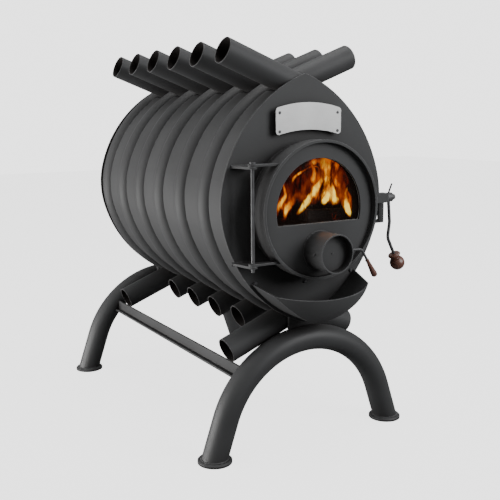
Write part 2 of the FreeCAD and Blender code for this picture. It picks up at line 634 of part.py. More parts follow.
# Latch: bracket on the door, hub with spindle, cam, crank and knob, keeper on the front plate.
latch_y = -d.latch_stand
hub_left = d.latch_offset - d.latch_hub_length / 2
latch_block = block("LatchBlock", "Sizes.latch_offset - Sizes.latch_hub_length / 2 - Sizes.seat_gap",
                    "Sizes.latch_bracket_width", "Sizes.latch_bracket_width",
                    spot(0, latch_y - d.latch_bracket_width / 2, -d.latch_bracket_width / 2))
latch_space = rod("LatchSpace", "Sizes.ring_radius", "Sizes.latch_stand + Sizes.latch_bracket_width",
                  spot(0, latch_y - d.latch_bracket_width, door_centre), TO_BACK)
latch_bore = rod("LatchBore", "Sizes.latch_pin_radius + Sizes.run_gap", "Sizes.latch_offset",
                 spot(0, latch_y, 0), TO_RIGHT)
keep(cut("LatchBracket", latch_block, latch_space, latch_bore), "latch_bracket")
pin_start = d.ring_radius + d.seat_gap
spindle = rod("LatchPin", "Sizes.latch_pin_radius",
              "Sizes.latch_offset + Sizes.latch_hub_length / 2 - Sizes.ring_radius - Sizes.seat_gap",
              spot(pin_start, latch_y, 0), TO_RIGHT)
hub_body = rod("LatchHubBody", "Sizes.latch_hub_radius", "Sizes.latch_hub_length",
               spot(hub_left, latch_y, 0), TO_RIGHT)
stub = rod("LatchStub", "Sizes.latch_stub_radius", "Sizes.latch_stub_length",
           spot(hub_left + d.latch_hub_length, latch_y, 0), TO_RIGHT)
keep(fuse("LatchHub", spindle, hub_body, stub), "latch_hub")
cam_nose = -d.keeper_stand - d.cam_gap - d.cam_radius
hub_space = rod("LatchHubSpace", "Sizes.latch_hub_radius", "Sizes.latch_hub_length",
                spot(hub_left, latch_y, 0), TO_RIGHT)
cam_left = d.latch_offset - d.cam_thick / 2
cam_leaf = block("CamLeaf", "Sizes.cam_thick",
                 "Sizes.latch_stand - Sizes.keeper_stand - Sizes.cam_gap - Sizes.cam_radius",
                 "2 * Sizes.cam_radius", spot(cam_left, latch_y, -d.cam_radius))
cam_round = rod("CamRound", "Sizes.cam_radius", "Sizes.cam_thick", spot(cam_left, cam_nose, 0), TO_RIGHT)
keep(cut("LatchCam", fuse("LatchCam", cam_leaf, cam_round), hub_space), "latch_cam")
tommy = rod("TommyPin", "Sizes.tommy_radius", "Sizes.latch_hub_radius + Sizes.tommy_length",
            spot(hub_left + d.tommy_inset, latch_y, 0), Rotation(Vector(1, 0, 0), d.tommy_lean))
keep(cut("LatchTommy", tommy, hub_space), "latch_tommy_pin")
crank_points = [spot(d.latch_offset, latch_y, 0),
                spot(d.latch_offset + d.crank_knee_out, latch_y, -d.crank_knee_drop),
                spot(d.latch_offset + d.crank_waist_out, latch_y, -d.crank_waist_drop),
                spot(d.latch_offset + d.crank_end_out, latch_y, -d.crank_end_drop)]
crank_first = crank_points[1] - crank_points[0]
crank_bar = pipe("CrankBar", "Sizes.crank_radius", None, rounded_route(crank_points, d.crank_bend),
                 crank_points[0], Rotation(Vector(0, 0, 1), crank_first))
keep(cut("LatchCrank", crank_bar, hub_space), "latch_crank")
knob_way = (crank_points[3] - crank_points[2]).normalize()
knob_turn = Rotation(Vector(0, 0, 1), knob_way)
knob_flange = rod("KnobFlange", "Sizes.knob_flange_radius", "Sizes.knob_flange_thick", crank_points[3], knob_turn)
neck_at = crank_points[3] + knob_way * d.knob_flange_thick
knob_neck = rod("KnobNeck", "Sizes.knob_neck_radius", "Sizes.knob_neck_length + Sizes.knob_radius",
                neck_at, knob_turn)
ball_at = neck_at + knob_way * (d.knob_neck_length + d.knob_radius - d.knob_neck_radius / 2)
knob_ball = place(bound("Part::Sphere", "KnobBall", {"Radius": "Sizes.knob_radius"}), ball_at)
keep(fuse("LatchKnob", knob_flange, knob_neck, knob_ball), "latch_knob")
keeper_x = d.latch_offset - d.keeper_width / 2
keeper_low = d.keeper_top - d.keeper_height
keeper_strip = block("KeeperStrip", "Sizes.keeper_width", "Sizes.keeper_thick", "Sizes.keeper_height",
                     spot(keeper_x, -d.keeper_stand, keeper_low))
keeper_top_leg = block("KeeperTopLeg", "Sizes.keeper_width", "Sizes.keeper_stand", "Sizes.keeper_thick",
                       spot(keeper_x, -d.keeper_stand, d.keeper_top - d.keeper_thick))
keeper_bar = block("KeeperBar", "Sizes.keeper_width / 2 + Sizes.keeper_bar", "Sizes.keeper_stand",
                   "Sizes.keeper_thick", spot(keeper_x - d.keeper_bar + d.keeper_width / 2, -d.keeper_stand,
                                              keeper_low))
keep(fuse("LatchKeeper", keeper_strip, keeper_top_leg, keeper_bar), "latch_keeper")

# Ash lip: a scoop whose sides follow the plate's outline and whose front is rounded off.
lip_span = 2 * (d.lip_half_width + d.lip_depth)


def lip_bowl(inset):
    """Ellipsoid about the middle of the rim line, kept within the plate's outline, smaller by the inset."""
    stretch = FreeCAD.Matrix()
    stretch.scale(d.lip_half_width - inset, d.lip_depth - inset, d.lip_height - inset)
    edges = [arc.toShape() for arc in teardrop(d.plate_margin - d.lip_edge - inset)]
    sides = Part.Face(Part.Wire(Part.__sortEdges__(edges))).extrude(Vector(0, 0, 2 * lip_span))
    sides.translate(Vector(0, d.lip_drop - d.wrap_drop, -lip_span))
    sides.rotate(Vector(0, 0, 0), Vector(1, 0, 0), 90)
    return Part.makeSphere(1.0).transformGeometry(stretch).common(sides)


lip_rim_cut = Part.makeBox(lip_span, lip_span, lip_span, Vector(-lip_span / 2, -lip_span / 2, 0))
lip_rim_cut.rotate(Vector(0, 0, 0), Vector(1, 0, 0), d.lip_tilt)
lip_back_cut = Part.makeBox(lip_span, lip_span, 2 * lip_span, Vector(-lip_span / 2, 0, -lip_span))
lip = doc.addObject("Part::Feature", "AshLip")
lip.Shape = lip_bowl(0).cut(lip_bowl(d.lip_wall)).cut(lip_back_cut).cut(lip_rim_cut)
place(lip, spot(0, 0, -d.lip_drop))
keep(lip, "ash_lip")
lip_bolts = []
for side in (-1, 0, 1):
    drop = d.lip_side_bolt_drop if side else d.lip_bolt_drop
    lip_bolts.append(rod(f"LipBolt{len(lip_bolts)}", "Sizes.lip_bolt_radius", "Sizes.lip_bolt_thick",
                         spot(side * d.lip_bolt_spread, -d.lip_bolt_thick, -d.lip_drop - drop), TO_BACK))
keep(group("LipBolts", lip_bolts), "ash_lip_bolts")

# Name plate on four riveted spacers.
badge_top = d.badge_base + d.badge_height
badge_corners = [Vector(-d.badge_half_width, d.badge_base, 0), Vector(d.badge_half_width, d.badge_base, 0),
                 Vector(d.badge_half_width, badge_top, 0), Vector(-d.badge_half_width, badge_top, 0)]
badge_outline = [
    Part.Arc(badge_corners[0], Vector(0, d.badge_base + d.badge_rise, 0), badge_corners[1]),
    Part.LineSegment(badge_corners[1], badge_corners[2]),
    Part.Arc(badge_corners[2], Vector(0, badge_top + d.badge_rise, 0), badge_corners[3]),
    Part.LineSegment(badge_corners[3], badge_corners[0]),
]
badge_back = -d.badge_stand
rivet_x = d.badge_half_width - d.rivet_inset
rivet_rise = d.badge_rise * (1 - (rivet_x / d.badge_half_width) ** 2)
rivet_spots = []
for x in (-rivet_x, rivet_x):
    for z in (d.badge_base + rivet_rise + d.rivet_inset - d.rivet_head, badge_top - d.rivet_inset):
        rivet_spots.append((x, z))
badge = padded_sketch("NamePlate", "name_plate", badge_outline, "Sizes.badge_thick",
                      spot(0, badge_back - d.badge_thick, 0),
                      [(x, z, "Sizes.rivet_radius") for x, z in rivet_spots])
doc.recompute()
upright = []
for index, edge in enumerate(doc.getObject("NamePlate_pad").Shape.Edges, start=1):
    corner = [p.Point for p in edge.Vertexes]
    along = len(corner) == 2 and abs(corner[0].y - corner[1].y) > d.badge_thick / 2
    if along and abs(abs(corner[0].x) - d.badge_half_width) < d.rivet_radius:
        upright.append(f"Edge{index}")
rounding = badge.newObject("PartDesign::Fillet", "NamePlate_corners")
rounding.Base = (doc.getObject("NamePlate_pad"), upright)
rounding.setExpression("Radius", "Sizes.badge_corner")
rivets = []
for index, (x, z) in enumerate(rivet_spots):
    spacer = rod(f"Rivet{index}_spacer", "Sizes.rivet_head", "Sizes.badge_stand", spot(x, badge_back, z), TO_BACK)
    shank = rod(f"Rivet{index}_shank", "Sizes.rivet_radius", "Sizes.badge_thick",
                spot(x, badge_back - d.badge_thick, z), TO_BACK)
    head = rod(f"Rivet{index}_head", "Sizes.rivet_head", "Sizes.rivet_head_thick",
               spot(x, badge_back - d.badge_thick - d.rivet_head_thick, z), TO_BACK)
    rivets.append(fuse(f"Rivet{index}", spacer, shank, head))
keep(group("NamePlateRivets", rivets), "name_plate_rivets")

# Legs: two arches of bent tube on round pads.
splay = math.radians(d.leg_splay)
LEG_TURN = Rotation(Vector(0, 1, 0), d.leg_splay)


def arch_bar(name, apex, radius, y, bore):
    """Bar or tube along an arch and its splayed legs, down past the top of the pads, and the pads' place."""
    bend_x = radius * math.cos(splay)
    bend_z = apex - radius + radius * math.sin(splay)
    foot_x = bend_x + (bend_z - d.foot_thick) * math.tan(splay)
    buried = d.leg_od * math.tan(splay)
    low_x = foot_x + buried * math.tan(splay)
    points = [Vector(-low_x, y, d.foot_thick - buried), Vector(-bend_x, y, bend_z), Vector(0, y, apex),
              Vector(bend_x, y, bend_z), Vector(low_x, y, d.foot_thick - buried)]
    edges = [Part.LineSegment(points[0], points[1]).toShape(), Part.Arc(*points[1:4]).toShape(),
             Part.LineSegment(points[3], points[4]).toShape()]
    return pipe(name, "Sizes.leg_od / 2", bore, edges, points[0], LEG_TURN), foot_x


def leg_arch(name, label, apex, radius, y):
    """Bent tube with splayed legs, cut level on its pads."""
    tube, foot_x = arch_bar(name, apex, radius, y, "Sizes.leg_od / 2 - Sizes.leg_wall")
    span = 4 * radius
    ground = doc.addObject("Part::Box", f"{name}_ground")
    ground.Length = span
    ground.Width = span
    ground.Height = span
    ground.Placement = Placement(Vector(-span / 2, y - span / 2, d.foot_thick - span), UP)
    keep(cut(f"{name}Arch", tube, ground), label)
    return foot_x


front_arch_y = datum - d.arch_lead
rear_arch_y = datum + rear_face + d.seat_gap + d.leg_od / 2
front_arch = (d.front_leg_apex, d.front_arch_radius, front_arch_y)
rear_arch = (d.rear_leg_apex, d.rear_arch_radius, rear_arch_y)
for end, arch in (("front", front_arch), ("rear", rear_arch)):
    foot_x = leg_arch(f"{end.title()}Legs", f"{end}_leg_arch", *arch)
    arch_y = arch[2]
    for side, sign in (("left", -1), ("right", 1)):
        name = f"{end.title()}{side.title()}Foot"
        base = rod(f"{name}_base", "Sizes.foot_radius", "Sizes.foot_thick - Sizes.foot_rim",
                   Vector(sign * foot_x, arch_y, 0))
        crown = bound("Part::Cone", f"{name}_crown", {"Radius1": "Sizes.foot_radius", "Height": "Sizes.foot_rim",
                                                      "Radius2": "Sizes.foot_radius - Sizes.foot_rim"})
        place(crown, Vector(sign * foot_x, arch_y, d.foot_thick - d.foot_rim))
        keep(fuse(name, base, crown), f"{end}_{side}_foot")


# Side bars run between the arches and end on their tubes. Saddles join the arches to the end plates: the
# front one stands on its arch, and the rear one holds its arch from the front.
def arch_solid(name, apex, radius, y):
    """Solid bar of an arch's outside, to fit other pieces to it."""
    return arch_bar(name, apex, radius, y, None)[0]


for side, sign in (("left", -1), ("right", 1)):
    name = f"{side.title()}Bar"
    web = bound("Part::Box", f"{name}_web", {"Length": "Sizes.bar_thick", "Height": "Sizes.bar_depth"})
    flange = bound("Part::Box", f"{name}_flange", {"Length": "Sizes.bar_flange", "Height": "Sizes.bar_thick"})
    bar_bottom = d.bar_height - d.bar_depth / 2
    flange_middle = sign * (d.bar_offset + (d.bar_flange - d.bar_thick) / 2)
    walls = ((web, sign * d.bar_offset, d.bar_thick), (flange, flange_middle, d.bar_flange))
    for wall, middle, width in walls:
        wall.Width = rear_arch_y - front_arch_y
        place(wall, Vector(middle - width / 2, front_arch_y, bar_bottom))
    angle_bar = fuse(f"{name}_angle", web, flange)
    front_space = arch_solid(f"{name}_front", *front_arch)
    rear_space = arch_solid(f"{name}_rear", *rear_arch)
    keep(cut(name, angle_bar, front_space, rear_space), f"{side}_side_bar")

plate_tip = d.wrap_drop + shoulder_point(d.plate_margin, shoulder_angle_at(d.plate_margin, 0.0))[1]
rear_saddle_base = d.rear_leg_apex - d.leg_od / 2
rear_saddle_thick = "Sizes.plate_thick + Sizes.saddle_reach"
for end, plate_at, arch, base, thick in (
        ("front", 0.0, front_arch, d.front_leg_apex, "Sizes.plate_thick"),
        ("rear", rear_plate_front, rear_arch, rear_saddle_base, rear_saddle_thick)):
    name = f"{end.title()}Saddle"
    slab = bound("Part::Box", f"{name}_slab", {"Length": "Sizes.saddle_width", "Width": thick})
    slab.Height = d.axis_height - base - plate_tip + d.saddle_width / 2
    place(slab, spot(-d.saddle_width / 2, plate_at, base - d.axis_height))
    plate_space = doc.addObject("Part::Feature", f"{name}_plate")
    outline = [curve.toShape() for curve in teardrop(d.plate_margin)]
    face = Part.Face(Part.Wire(Part.__sortEdges__(outline)))
    face.rotate(Vector(0, 0, 0), Vector(1, 0, 0), 90)
    plate_space.Shape = face.extrude(Vector(0, d.plate_thick, 0))
    place(plate_space, spot(0, plate_at, -d.wrap_drop))
    arch_space = arch_solid(f"{name}_arch", *arch)
    keep(cut(name, slab, plate_space, arch_space), f"{end}_saddle")

# Flue spigot with a stop bead and a damper.
flue_z = d.flue_rise
flue_y = rear_face
flue_tube = ring("FlueTube", "Sizes.flue_radius", "Sizes.flue_radius - Sizes.flue_wall", "Sizes.flue_length",
                 spot(0, flue_y, flue_z))
flue_bead = ring("FlueBead", "Sizes.flue_radius + Sizes.flue_bead_rise", "Sizes.flue_radius - Sizes.flue_wall",
                 "Sizes.flue_bead_width", spot(0, flue_y + d.flue_bead_place, flue_z))
damper_y = flue_y + d.damper_place
damper_end = d.flue_radius + d.flue_wall
damper_bore = rod("DamperBore", "Sizes.damper_pin_radius + Sizes.run_gap",
                  "2 * (Sizes.flue_radius + Sizes.flue_wall)", spot(-damper_end, damper_y, flue_z), TO_RIGHT)
keep(cut("FlueSpigot", fuse("FlueSpigot", flue_tube, flue_bead), damper_bore), "flue_spigot")
flap = rod("DamperFlap", "Sizes.damper_radius", "Sizes.damper_thick",
           spot(0, damper_y, flue_z + d.damper_pin_radius))
keep(flap, "damper_flap")
damper_pin = rod("DamperPin", "Sizes.damper_pin_radius",
                 "2 * (Sizes.flue_radius + Sizes.flue_wall) + 2 * Sizes.damper_handle_radius",
                 spot(-damper_end, damper_y, flue_z), TO_RIGHT)
keep(damper_pin, "damper_spindle")
handle_x = damper_end + d.damper_handle_radius
handle = rod("DamperHandle", "Sizes.damper_handle_radius", "Sizes.damper_handle_length",
             spot(handle_x, damper_y - d.damper_handle_lead, flue_z), TO_BACK)
pin_space = rod("DamperPinSpace", "Sizes.damper_pin_radius",
                "2 * (Sizes.flue_radius + Sizes.flue_wall) + 2 * Sizes.damper_handle_radius",
                spot(-damper_end, damper_y, flue_z), TO_RIGHT)
keep(cut("DamperGrip", handle, pin_space), "damper_handle")

# Baffle plate above the fire, on two ledges between the end plates.
firebox_length = rear_plate_front - d.plate_thick
baffle = block("BafflePlate", "2 * Sizes.baffle_half_width", "Sizes.baffle_length", "Sizes.baffle_thick",
               spot(-d.baffle_half_width, d.plate_thick + d.seat_gap, d.baffle_height))
keep(baffle, "baffle_plate")
ledges = []
ledge_inner = d.baffle_half_width - d.ledge_overlap
for x in (-ledge_inner - d.ledge_width, ledge_inner):
    ledge = bound("Part::Box", f"Ledge{len(ledges)}", {"Length": "Sizes.ledge_width", "Height": "Sizes.ledge_thick"})
    ledge.Width = firebox_length
    ledges.append(place(ledge, spot(x, d.plate_thick, d.baffle_height - d.ledge_thick)))
keep(group("BaffleLedges", ledges), "baffle_ledges")

doc.recompute()
faults = [o.Name for o in doc.Objects if {"Invalid", "Error"} & set(o.State)]
for piece in made:
    if piece.Shape.isNull() or not piece.Shape.isValid() or not piece.Shape.Solids:
        faults.append(piece.Label)
if faults:
    raise RuntimeError("failed: " + ", ".join(faults))
os.makedirs("parts", exist_ok=True)
for piece in made:
    piece.Shape.exportStep(os.path.join("parts", piece.Label + ".step"))
    print(piece.Label, len(piece.Shape.Solids), round(piece.Shape.Volume))
box = Part.makeCompound([piece.Shape for piece in made]).BoundBox
print("pieces", len(made), "box", box)
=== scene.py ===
"""Workshop stove: finishes, small detail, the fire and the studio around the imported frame.

Lengths are metres in the frame of the part: +Z up, the door towards -Y, the floor at Z = 0.
"""
from __future__ import annotations

import json
import logging
import math
import random
from dataclasses import dataclass, field
from enum import Enum
from typing import Iterable, Sequence

import bmesh
import bpy
from mathutils import Matrix, Vector, noise

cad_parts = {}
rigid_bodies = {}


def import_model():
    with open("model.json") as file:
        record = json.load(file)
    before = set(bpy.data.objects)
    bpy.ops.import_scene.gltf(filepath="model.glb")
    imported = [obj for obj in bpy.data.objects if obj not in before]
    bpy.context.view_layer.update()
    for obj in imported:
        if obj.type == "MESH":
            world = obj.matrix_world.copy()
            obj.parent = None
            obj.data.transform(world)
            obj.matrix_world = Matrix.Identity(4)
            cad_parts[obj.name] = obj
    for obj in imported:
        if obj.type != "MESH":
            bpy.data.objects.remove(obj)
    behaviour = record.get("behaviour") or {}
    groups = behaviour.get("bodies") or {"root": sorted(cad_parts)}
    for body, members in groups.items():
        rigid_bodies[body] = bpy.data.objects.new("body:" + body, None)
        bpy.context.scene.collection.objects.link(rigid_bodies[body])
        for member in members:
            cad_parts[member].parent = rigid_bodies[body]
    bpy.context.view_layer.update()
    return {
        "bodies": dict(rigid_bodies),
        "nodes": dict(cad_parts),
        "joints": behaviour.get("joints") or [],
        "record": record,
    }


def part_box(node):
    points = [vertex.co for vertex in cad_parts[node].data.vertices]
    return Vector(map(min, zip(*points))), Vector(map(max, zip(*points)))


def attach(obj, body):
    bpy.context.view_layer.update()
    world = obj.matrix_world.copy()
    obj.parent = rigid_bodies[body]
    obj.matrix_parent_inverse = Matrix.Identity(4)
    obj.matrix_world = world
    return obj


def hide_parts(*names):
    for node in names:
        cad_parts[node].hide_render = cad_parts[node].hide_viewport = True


LOG = logging.getLogger("workshop_stove")
MM = 0.001
POLE_RADIUS = 1e-6
Colour = tuple[float, float, float]
Sizes = dict[str, float | int]
Socket = bpy.types.NodeSocket
Material = bpy.types.Material
Tree = bpy.types.NodeTree
Piece = bpy.types.Object
Mesh = bpy.types.Mesh
Shape = bmesh.types.BMesh


def shade(colour: Colour, share: float) -> Colour:
    """A colour made darker or lighter by a share."""
    return tuple(share * c for c in colour)


class Coat(Enum):
    """The record's material slots."""

    BODY = "body_paint"
    TUBE = "tube_paint"
    LEG = "leg_paint"
    WOOD = "wood"
    GLASS = "window_glass"
    ROPE = "rope_seal"
    PLATE = "bare_plate"
    STEEL = "plain_steel"
    SCALE = "hot_steel"


class Body(Enum):
    """The bodies that new pieces ride on."""

    STOVE = "root"
    DOOR = "door"
    THROTTLE = "throttle"
    LATCH = "latch"


class NodeSketch:
    """Short-hand for adding and joining nodes in one tree."""

    def __init__(self, tree: Tree) -> None:
        """Work on the given tree."""
        self.tree = tree

    def add(self, kind: str, inputs: dict | None = None, **settings: object) -> bpy.types.Node:
        """Add a node.

        Args:
            kind: the node's type name.
            inputs: values or sockets, by input name or index.
            settings: properties of the node itself.

        Returns:
            The new node.
        """
        node = self.tree.nodes.new(kind)
        for name, value in settings.items():
            setattr(node, name, value)
        for key, value in (inputs or {}).items():
            socket = node.inputs[key]
            if isinstance(value, Socket):
                self.tree.links.new(value, socket)
            else:
                socket.default_value = value
        return node

    def made(self, kind: str, inputs: dict | None = None, **settings: object) -> Socket:
        """Add a node and hand over its first output."""
        return self.add(kind, inputs, **settings).outputs[0]

    def math(self, operation: str, first: object, second: object = 0.0, third: object = 0.0) -> Socket:
        """Result of one Math node on up to three values or sockets."""
        return self.made("ShaderNodeMath", {0: first, 1: second, 2: third}, operation=operation)

    def times(self, first: object, second: object) -> Socket:
        """Product of two values or sockets."""
        return self.math("MULTIPLY", first, second)

    def most(self, first: object, second: object) -> Socket:
        """The greater of two values or sockets."""
        return self.math("MAXIMUM", first, second)

    def vector(self, operation: str, first: object, second: object = (0.0, 0.0, 0.0)) -> Socket:
        """Result of one Vector Math node, a number for dot products and lengths."""
        outputs = self.add("ShaderNodeVectorMath", {0: first, 1: second}, operation=operation).outputs
        return outputs["Value" if operation in ("DOT_PRODUCT", "LENGTH") else "Vector"]

    def spread(self, value: Socket, low: float, high: float, start: float = 0.0, end: float = 1.0) -> Socket:
        """Map a value from start..end to low..high."""
        inputs = {"Value": value, "From Min": start, "From Max": end, "To Min": low, "To Max": high}
        return self.made("ShaderNodeMapRange", inputs)

    def ramp(self, value: Socket, stops: Sequence[tuple[float, Colour]]) -> Socket:
        """Colour of a value along a ramp of stops."""
        node = self.add("ShaderNodeValToRGB", {"Fac": value})
        elements = node.color_ramp.elements
        while len(elements) < len(stops):
            elements.new(1.0)
        for element, (place, colour) in zip(elements, stops):
            element.position = place
            element.color = (*colour, 1.0)
        return node.outputs["Color"]

    def mix(self, factor: object, first: object, second: object) -> Socket:
        """Colour between two colours or colour sockets."""
        node = self.add("ShaderNodeMix", {"Factor": factor}, data_type="RGBA")
        for index, value in ((6, first), (7, second)):
            if isinstance(value, Socket):
                self.tree.links.new(value, node.inputs[index])
            else:
                node.inputs[index].default_value = (*value, 1.0)
        return node.outputs[2]


class Surface(NodeSketch):
    """A material under construction."""

    def __init__(self, name: str) -> None:
        """Start an empty material with the given name."""
        self.material = bpy.data.materials.new(name)
        self.material.use_nodes = True
        super().__init__(self.material.node_tree)
        self.tree.nodes.clear()
        self.output = self.add("ShaderNodeOutputMaterial")
        coordinates = self.add("ShaderNodeTexCoord").outputs
        self.place = coordinates["Object"]
        self.facing = coordinates["Normal"]

    def grain(self, scale: float, detail: float = 3.0, stretch: Colour = (1.0, 1.0, 1.0),
              roughness: float = 0.5) -> Socket:
        """Noise on object coordinates.

        Args:
            scale: features per metre.
            detail: octaves.
            stretch: scale of each axis.
            roughness: weight of the finer octaves.

        Returns:
            The noise's factor socket.
        """
        mapped = self.made("ShaderNodeMapping", {"Vector": self.place, "Scale": stretch})
        inputs = {"Vector": mapped, "Scale": scale, "Detail": detail, "Roughness": roughness}
        return self.made("ShaderNodeTexNoise", inputs)

    def bump(self, height: Socket, strength: float, distance: float,
             normal: Socket | None = None) -> Socket:
        """Normal of a bumped surface."""
        inputs = {"Height": height, "Strength": strength, "Distance": distance}
        if normal is not None:
            inputs["Normal"] = normal
        return self.made("ShaderNodeBump", inputs)

    def finish(self, shader: Socket) -> Material:
        """Join a shader to the output and hand over the material."""
        self.tree.links.new(shader, self.output.inputs["Surface"])
        return self.material

    def principled(self, inputs: dict) -> Material:
        """Finish with one Principled shader and hand over the material."""
        return self.finish(self.made("ShaderNodeBsdfPrincipled", inputs))


@dataclass(frozen=True)
class Soot:
    """Where the fire has blackened the paint: faces that look into the firebox or its mouth."""

    axis: float
    front: float
    rear: float
    door_axis: float
    door_front: float
    reach: float = 0.24
    mouth_reach: float = 0.1445
    colour: Colour = (0.008, 0.0065, 0.006)
    edge: float = 0.6 * MM
    fade: float = 4.0 * MM

    def round_about(self, s: Surface, height: float) -> tuple[Socket, Socket]:
        """Distance from a level axis along Y, and how far a face looks towards it."""
        radial = s.vector("MULTIPLY", s.vector("ADD", s.place, (0.0, 0.0, -height)), (1.0, 0.0, 1.0))
        outward = s.vector("DOT_PRODUCT", s.vector("NORMALIZE", radial), s.facing)
        return s.vector("LENGTH", radial), s.spread(outward, 1.0, 0.0, -0.25, 0.1)

    def within(self, s: Surface, low: float, high: float) -> Socket:
        """Share of a stretch along Y, with short soft ends outside it."""
        y = s.add("ShaderNodeSeparateXYZ", {0: s.place}).outputs["Y"]
        after = s.spread(y, 0.0, 1.0, low - 2 * self.edge, low - self.edge)
        before = s.spread(y, 1.0, 0.0, high + self.edge, high + 2 * self.edge)
        return s.times(after, before)

    def mask(self, s: Surface) -> Socket:
        """Share of soot, from 0 to 1."""
        along = s.add("ShaderNodeSeparateXYZ", {0: s.facing}).outputs["Y"]
        far, inward = self.round_about(s, self.axis)
        plates = s.most(self.within(s, self.front, self.front), self.within(s, self.rear, self.rear))
        ends = s.times(plates, s.spread(s.math("ABSOLUTE", along), 0.0, 1.0, 0.5, 0.6))
        near = s.spread(far, 1.0, 0.0, self.reach - self.fade, self.reach)
        chamber = s.times(s.times(self.within(s, self.front, self.rear), near), s.most(inward, ends))
        far, inward = self.round_about(s, self.door_axis)
        backs = s.spread(along, 0.0, 1.0, 0.5, 0.6)
        near = s.spread(far, 1.0, 0.0, self.mouth_reach - self.edge, self.mouth_reach)
        stretch = self.within(s, self.door_front + 3 * self.edge, self.front)
        mouth = s.times(s.times(stretch, near), s.most(inward, backs))
        return s.most(chamber, mouth)


@dataclass(frozen=True)
class PaintedBoreShade:
    """Painted shade inside the straight tube ends, which slope up and down from the middle plane."""

    axis: float
    first: float
    step: float
    crossing: float
    slope: float = math.radians(21.0)
    outer: float = 29.6 * MM
    inner: float = 28.0 * MM
    straight_from: float = 54.0 * MM

    def mask(self, s: Surface) -> Socket:
        """Share of painted shade in the bore, from 0 to 1."""
        place = s.add("ShaderNodeSeparateXYZ", {0: s.place}).outputs
        row = s.math("DIVIDE", s.math("SUBTRACT", place["Y"], self.first), self.step)
        nearest = s.math("ROUND", row)
        aside = s.times(s.math("SUBTRACT", row, nearest), self.step)
        odd = s.math("FLOORED_MODULO", nearest, 2.0)
        side = s.times(place["X"], s.spread(odd, -1.0, 1.0))
        rise = s.math("ABSOLUTE", s.math("SUBTRACT", place["Z"], self.axis))
        line = s.math("MULTIPLY_ADD", side, math.tan(self.slope), s.math("SUBTRACT", self.crossing, rise))
        off = s.times(line, math.cos(self.slope))
        far = s.math("SQRT", s.math("ADD", s.times(off, off), s.times(aside, aside)))
        straight = s.spread(side, 0.0, 1.0, self.straight_from, self.straight_from + MM)
        return s.times(straight, s.spread(far, 1.0, 0.0, self.inner, self.outer))


@dataclass(frozen=True)
class HeatPaint:
    """Heat-resistant paint on steel: fine grain, faint clouds, worn edges with painted highlight, soot
    inside.
    """

    name: str
    colour: Colour
    # Lighter edge colour: partly paint wear, partly a painted highlight.
    edge_wear_and_highlight: Colour
    roughness: float
    soot: Soot
    gloss: float = 0.3
    bore_shade: PaintedBoreShade | None = None
    # Painted shade: reach and strength of the darkening in corners and recesses.
    painted_shade_reach: float = 80.0 * MM
    painted_shade_share: float = 0.85
    edge: float = 1.8 * MM
    grain_depth: float = 0.05 * MM

    def material(self) -> Material:
        """Build the paint."""
        s = Surface(self.name)
        cloud = s.grain(7.0, 5.0)
        speck = s.grain(1400.0, 2.0)
        tone = s.ramp(cloud, [(0.3, shade(self.colour, 0.88)), (0.7, shade(self.colour, 1.12))])
        # Edges: the lighter colour where the bevelled normal bends is partly wear, partly a painted
        # highlight.
        soft_edge = s.made("ShaderNodeBevel", {"Radius": self.edge}, samples=6)
        bend = s.vector("DOT_PRODUCT", soft_edge, s.add("ShaderNodeNewGeometry").outputs["Normal"])
        corner = s.spread(bend, 1.0, 0.0, 0.86, 0.985)
        patchy = s.spread(s.grain(60.0, 4.0), 0.0, 1.0, 0.42, 0.62)
        wear_and_highlight = s.times(corner, s.spread(patchy, 0.55, 1.0))
        # Painted shade: ambient occlusion darkens corners and recesses towards the soot colour, merged with
        # the soot.
        occlusion = s.add("ShaderNodeAmbientOcclusion", {"Distance": self.painted_shade_reach}, samples=4).outputs["AO"]
        painted_shade = s.spread(occlusion, self.painted_shade_share, 0.0, 0.1, 0.9)
        black = s.most(self.soot.mask(s), painted_shade)
        # Painted shade inside the open tube ends.
        if self.bore_shade is not None:
            black = s.most(black, self.bore_shade.mask(s))
        colour = s.mix(black, s.mix(wear_and_highlight, tone, self.edge_wear_and_highlight), self.soot.colour)
        rough = s.math("ADD", s.spread(speck, self.roughness - 0.05, self.roughness + 0.05),
                       s.spread(cloud, -0.04, 0.04))
        dull = s.most(rough, s.times(black, 0.9))
        normal = s.bump(speck, 0.35, self.grain_depth, soft_edge)
        inputs = {"Base Color": colour, "Roughness": dull, "Normal": normal, "Specular IOR Level": self.gloss}
        return s.principled(inputs)


@dataclass(frozen=True)
class OiledSteel:
    """Dark oiled steel with draw marks."""

    name: str
    colour: Colour
    roughness: float

    def material(self) -> Material:
        """Build the steel."""
        s = Surface(self.name)
        cloud = s.grain(40.0, 5.0)
        marks = s.grain(900.0, 3.0, (1.0, 1.0, 0.08))
        tone = s.ramp(cloud, [(0.3, shade(self.colour, 0.7)), (0.7, shade(self.colour, 1.25))])
        rough = s.spread(marks, self.roughness - 0.1, self.roughness + 0.1)
        normal = s.bump(marks, 0.25, 0.04 * MM)
        inputs = {"Base Color": tone, "Roughness": rough, "Normal": normal, "Metallic": 0.2,
                  "Specular IOR Level": 0.25}
        return s.principled(inputs)


@dataclass(frozen=True)
class BrushedPlate:
    """Bare sheet brushed along X."""

    name: str
    colour: Colour

    def material(self) -> Material:
        """Build the brushed sheet."""
        s = Surface(self.name)
        strokes = s.grain(1800.0, 4.0, (0.012, 1.0, 1.0), 0.7)
        cloud = s.grain(18.0, 4.0)
        tone = s.mix(s.spread(cloud, 0.0, 1.0, 0.35, 0.65), shade(self.colour, 0.9), self.colour)
        streaked = s.mix(s.spread(strokes, 0.0, 0.35, 0.4, 0.7), tone, shade(self.colour, 0.72))
        rough = s.spread(strokes, 0.38, 0.56)
        normal = s.bump(strokes, 0.22, 0.03 * MM)
        inputs = {"Base Color": streaked, "Roughness": rough, "Normal": normal, "Metallic": 0.55}
        return s.principled(inputs)


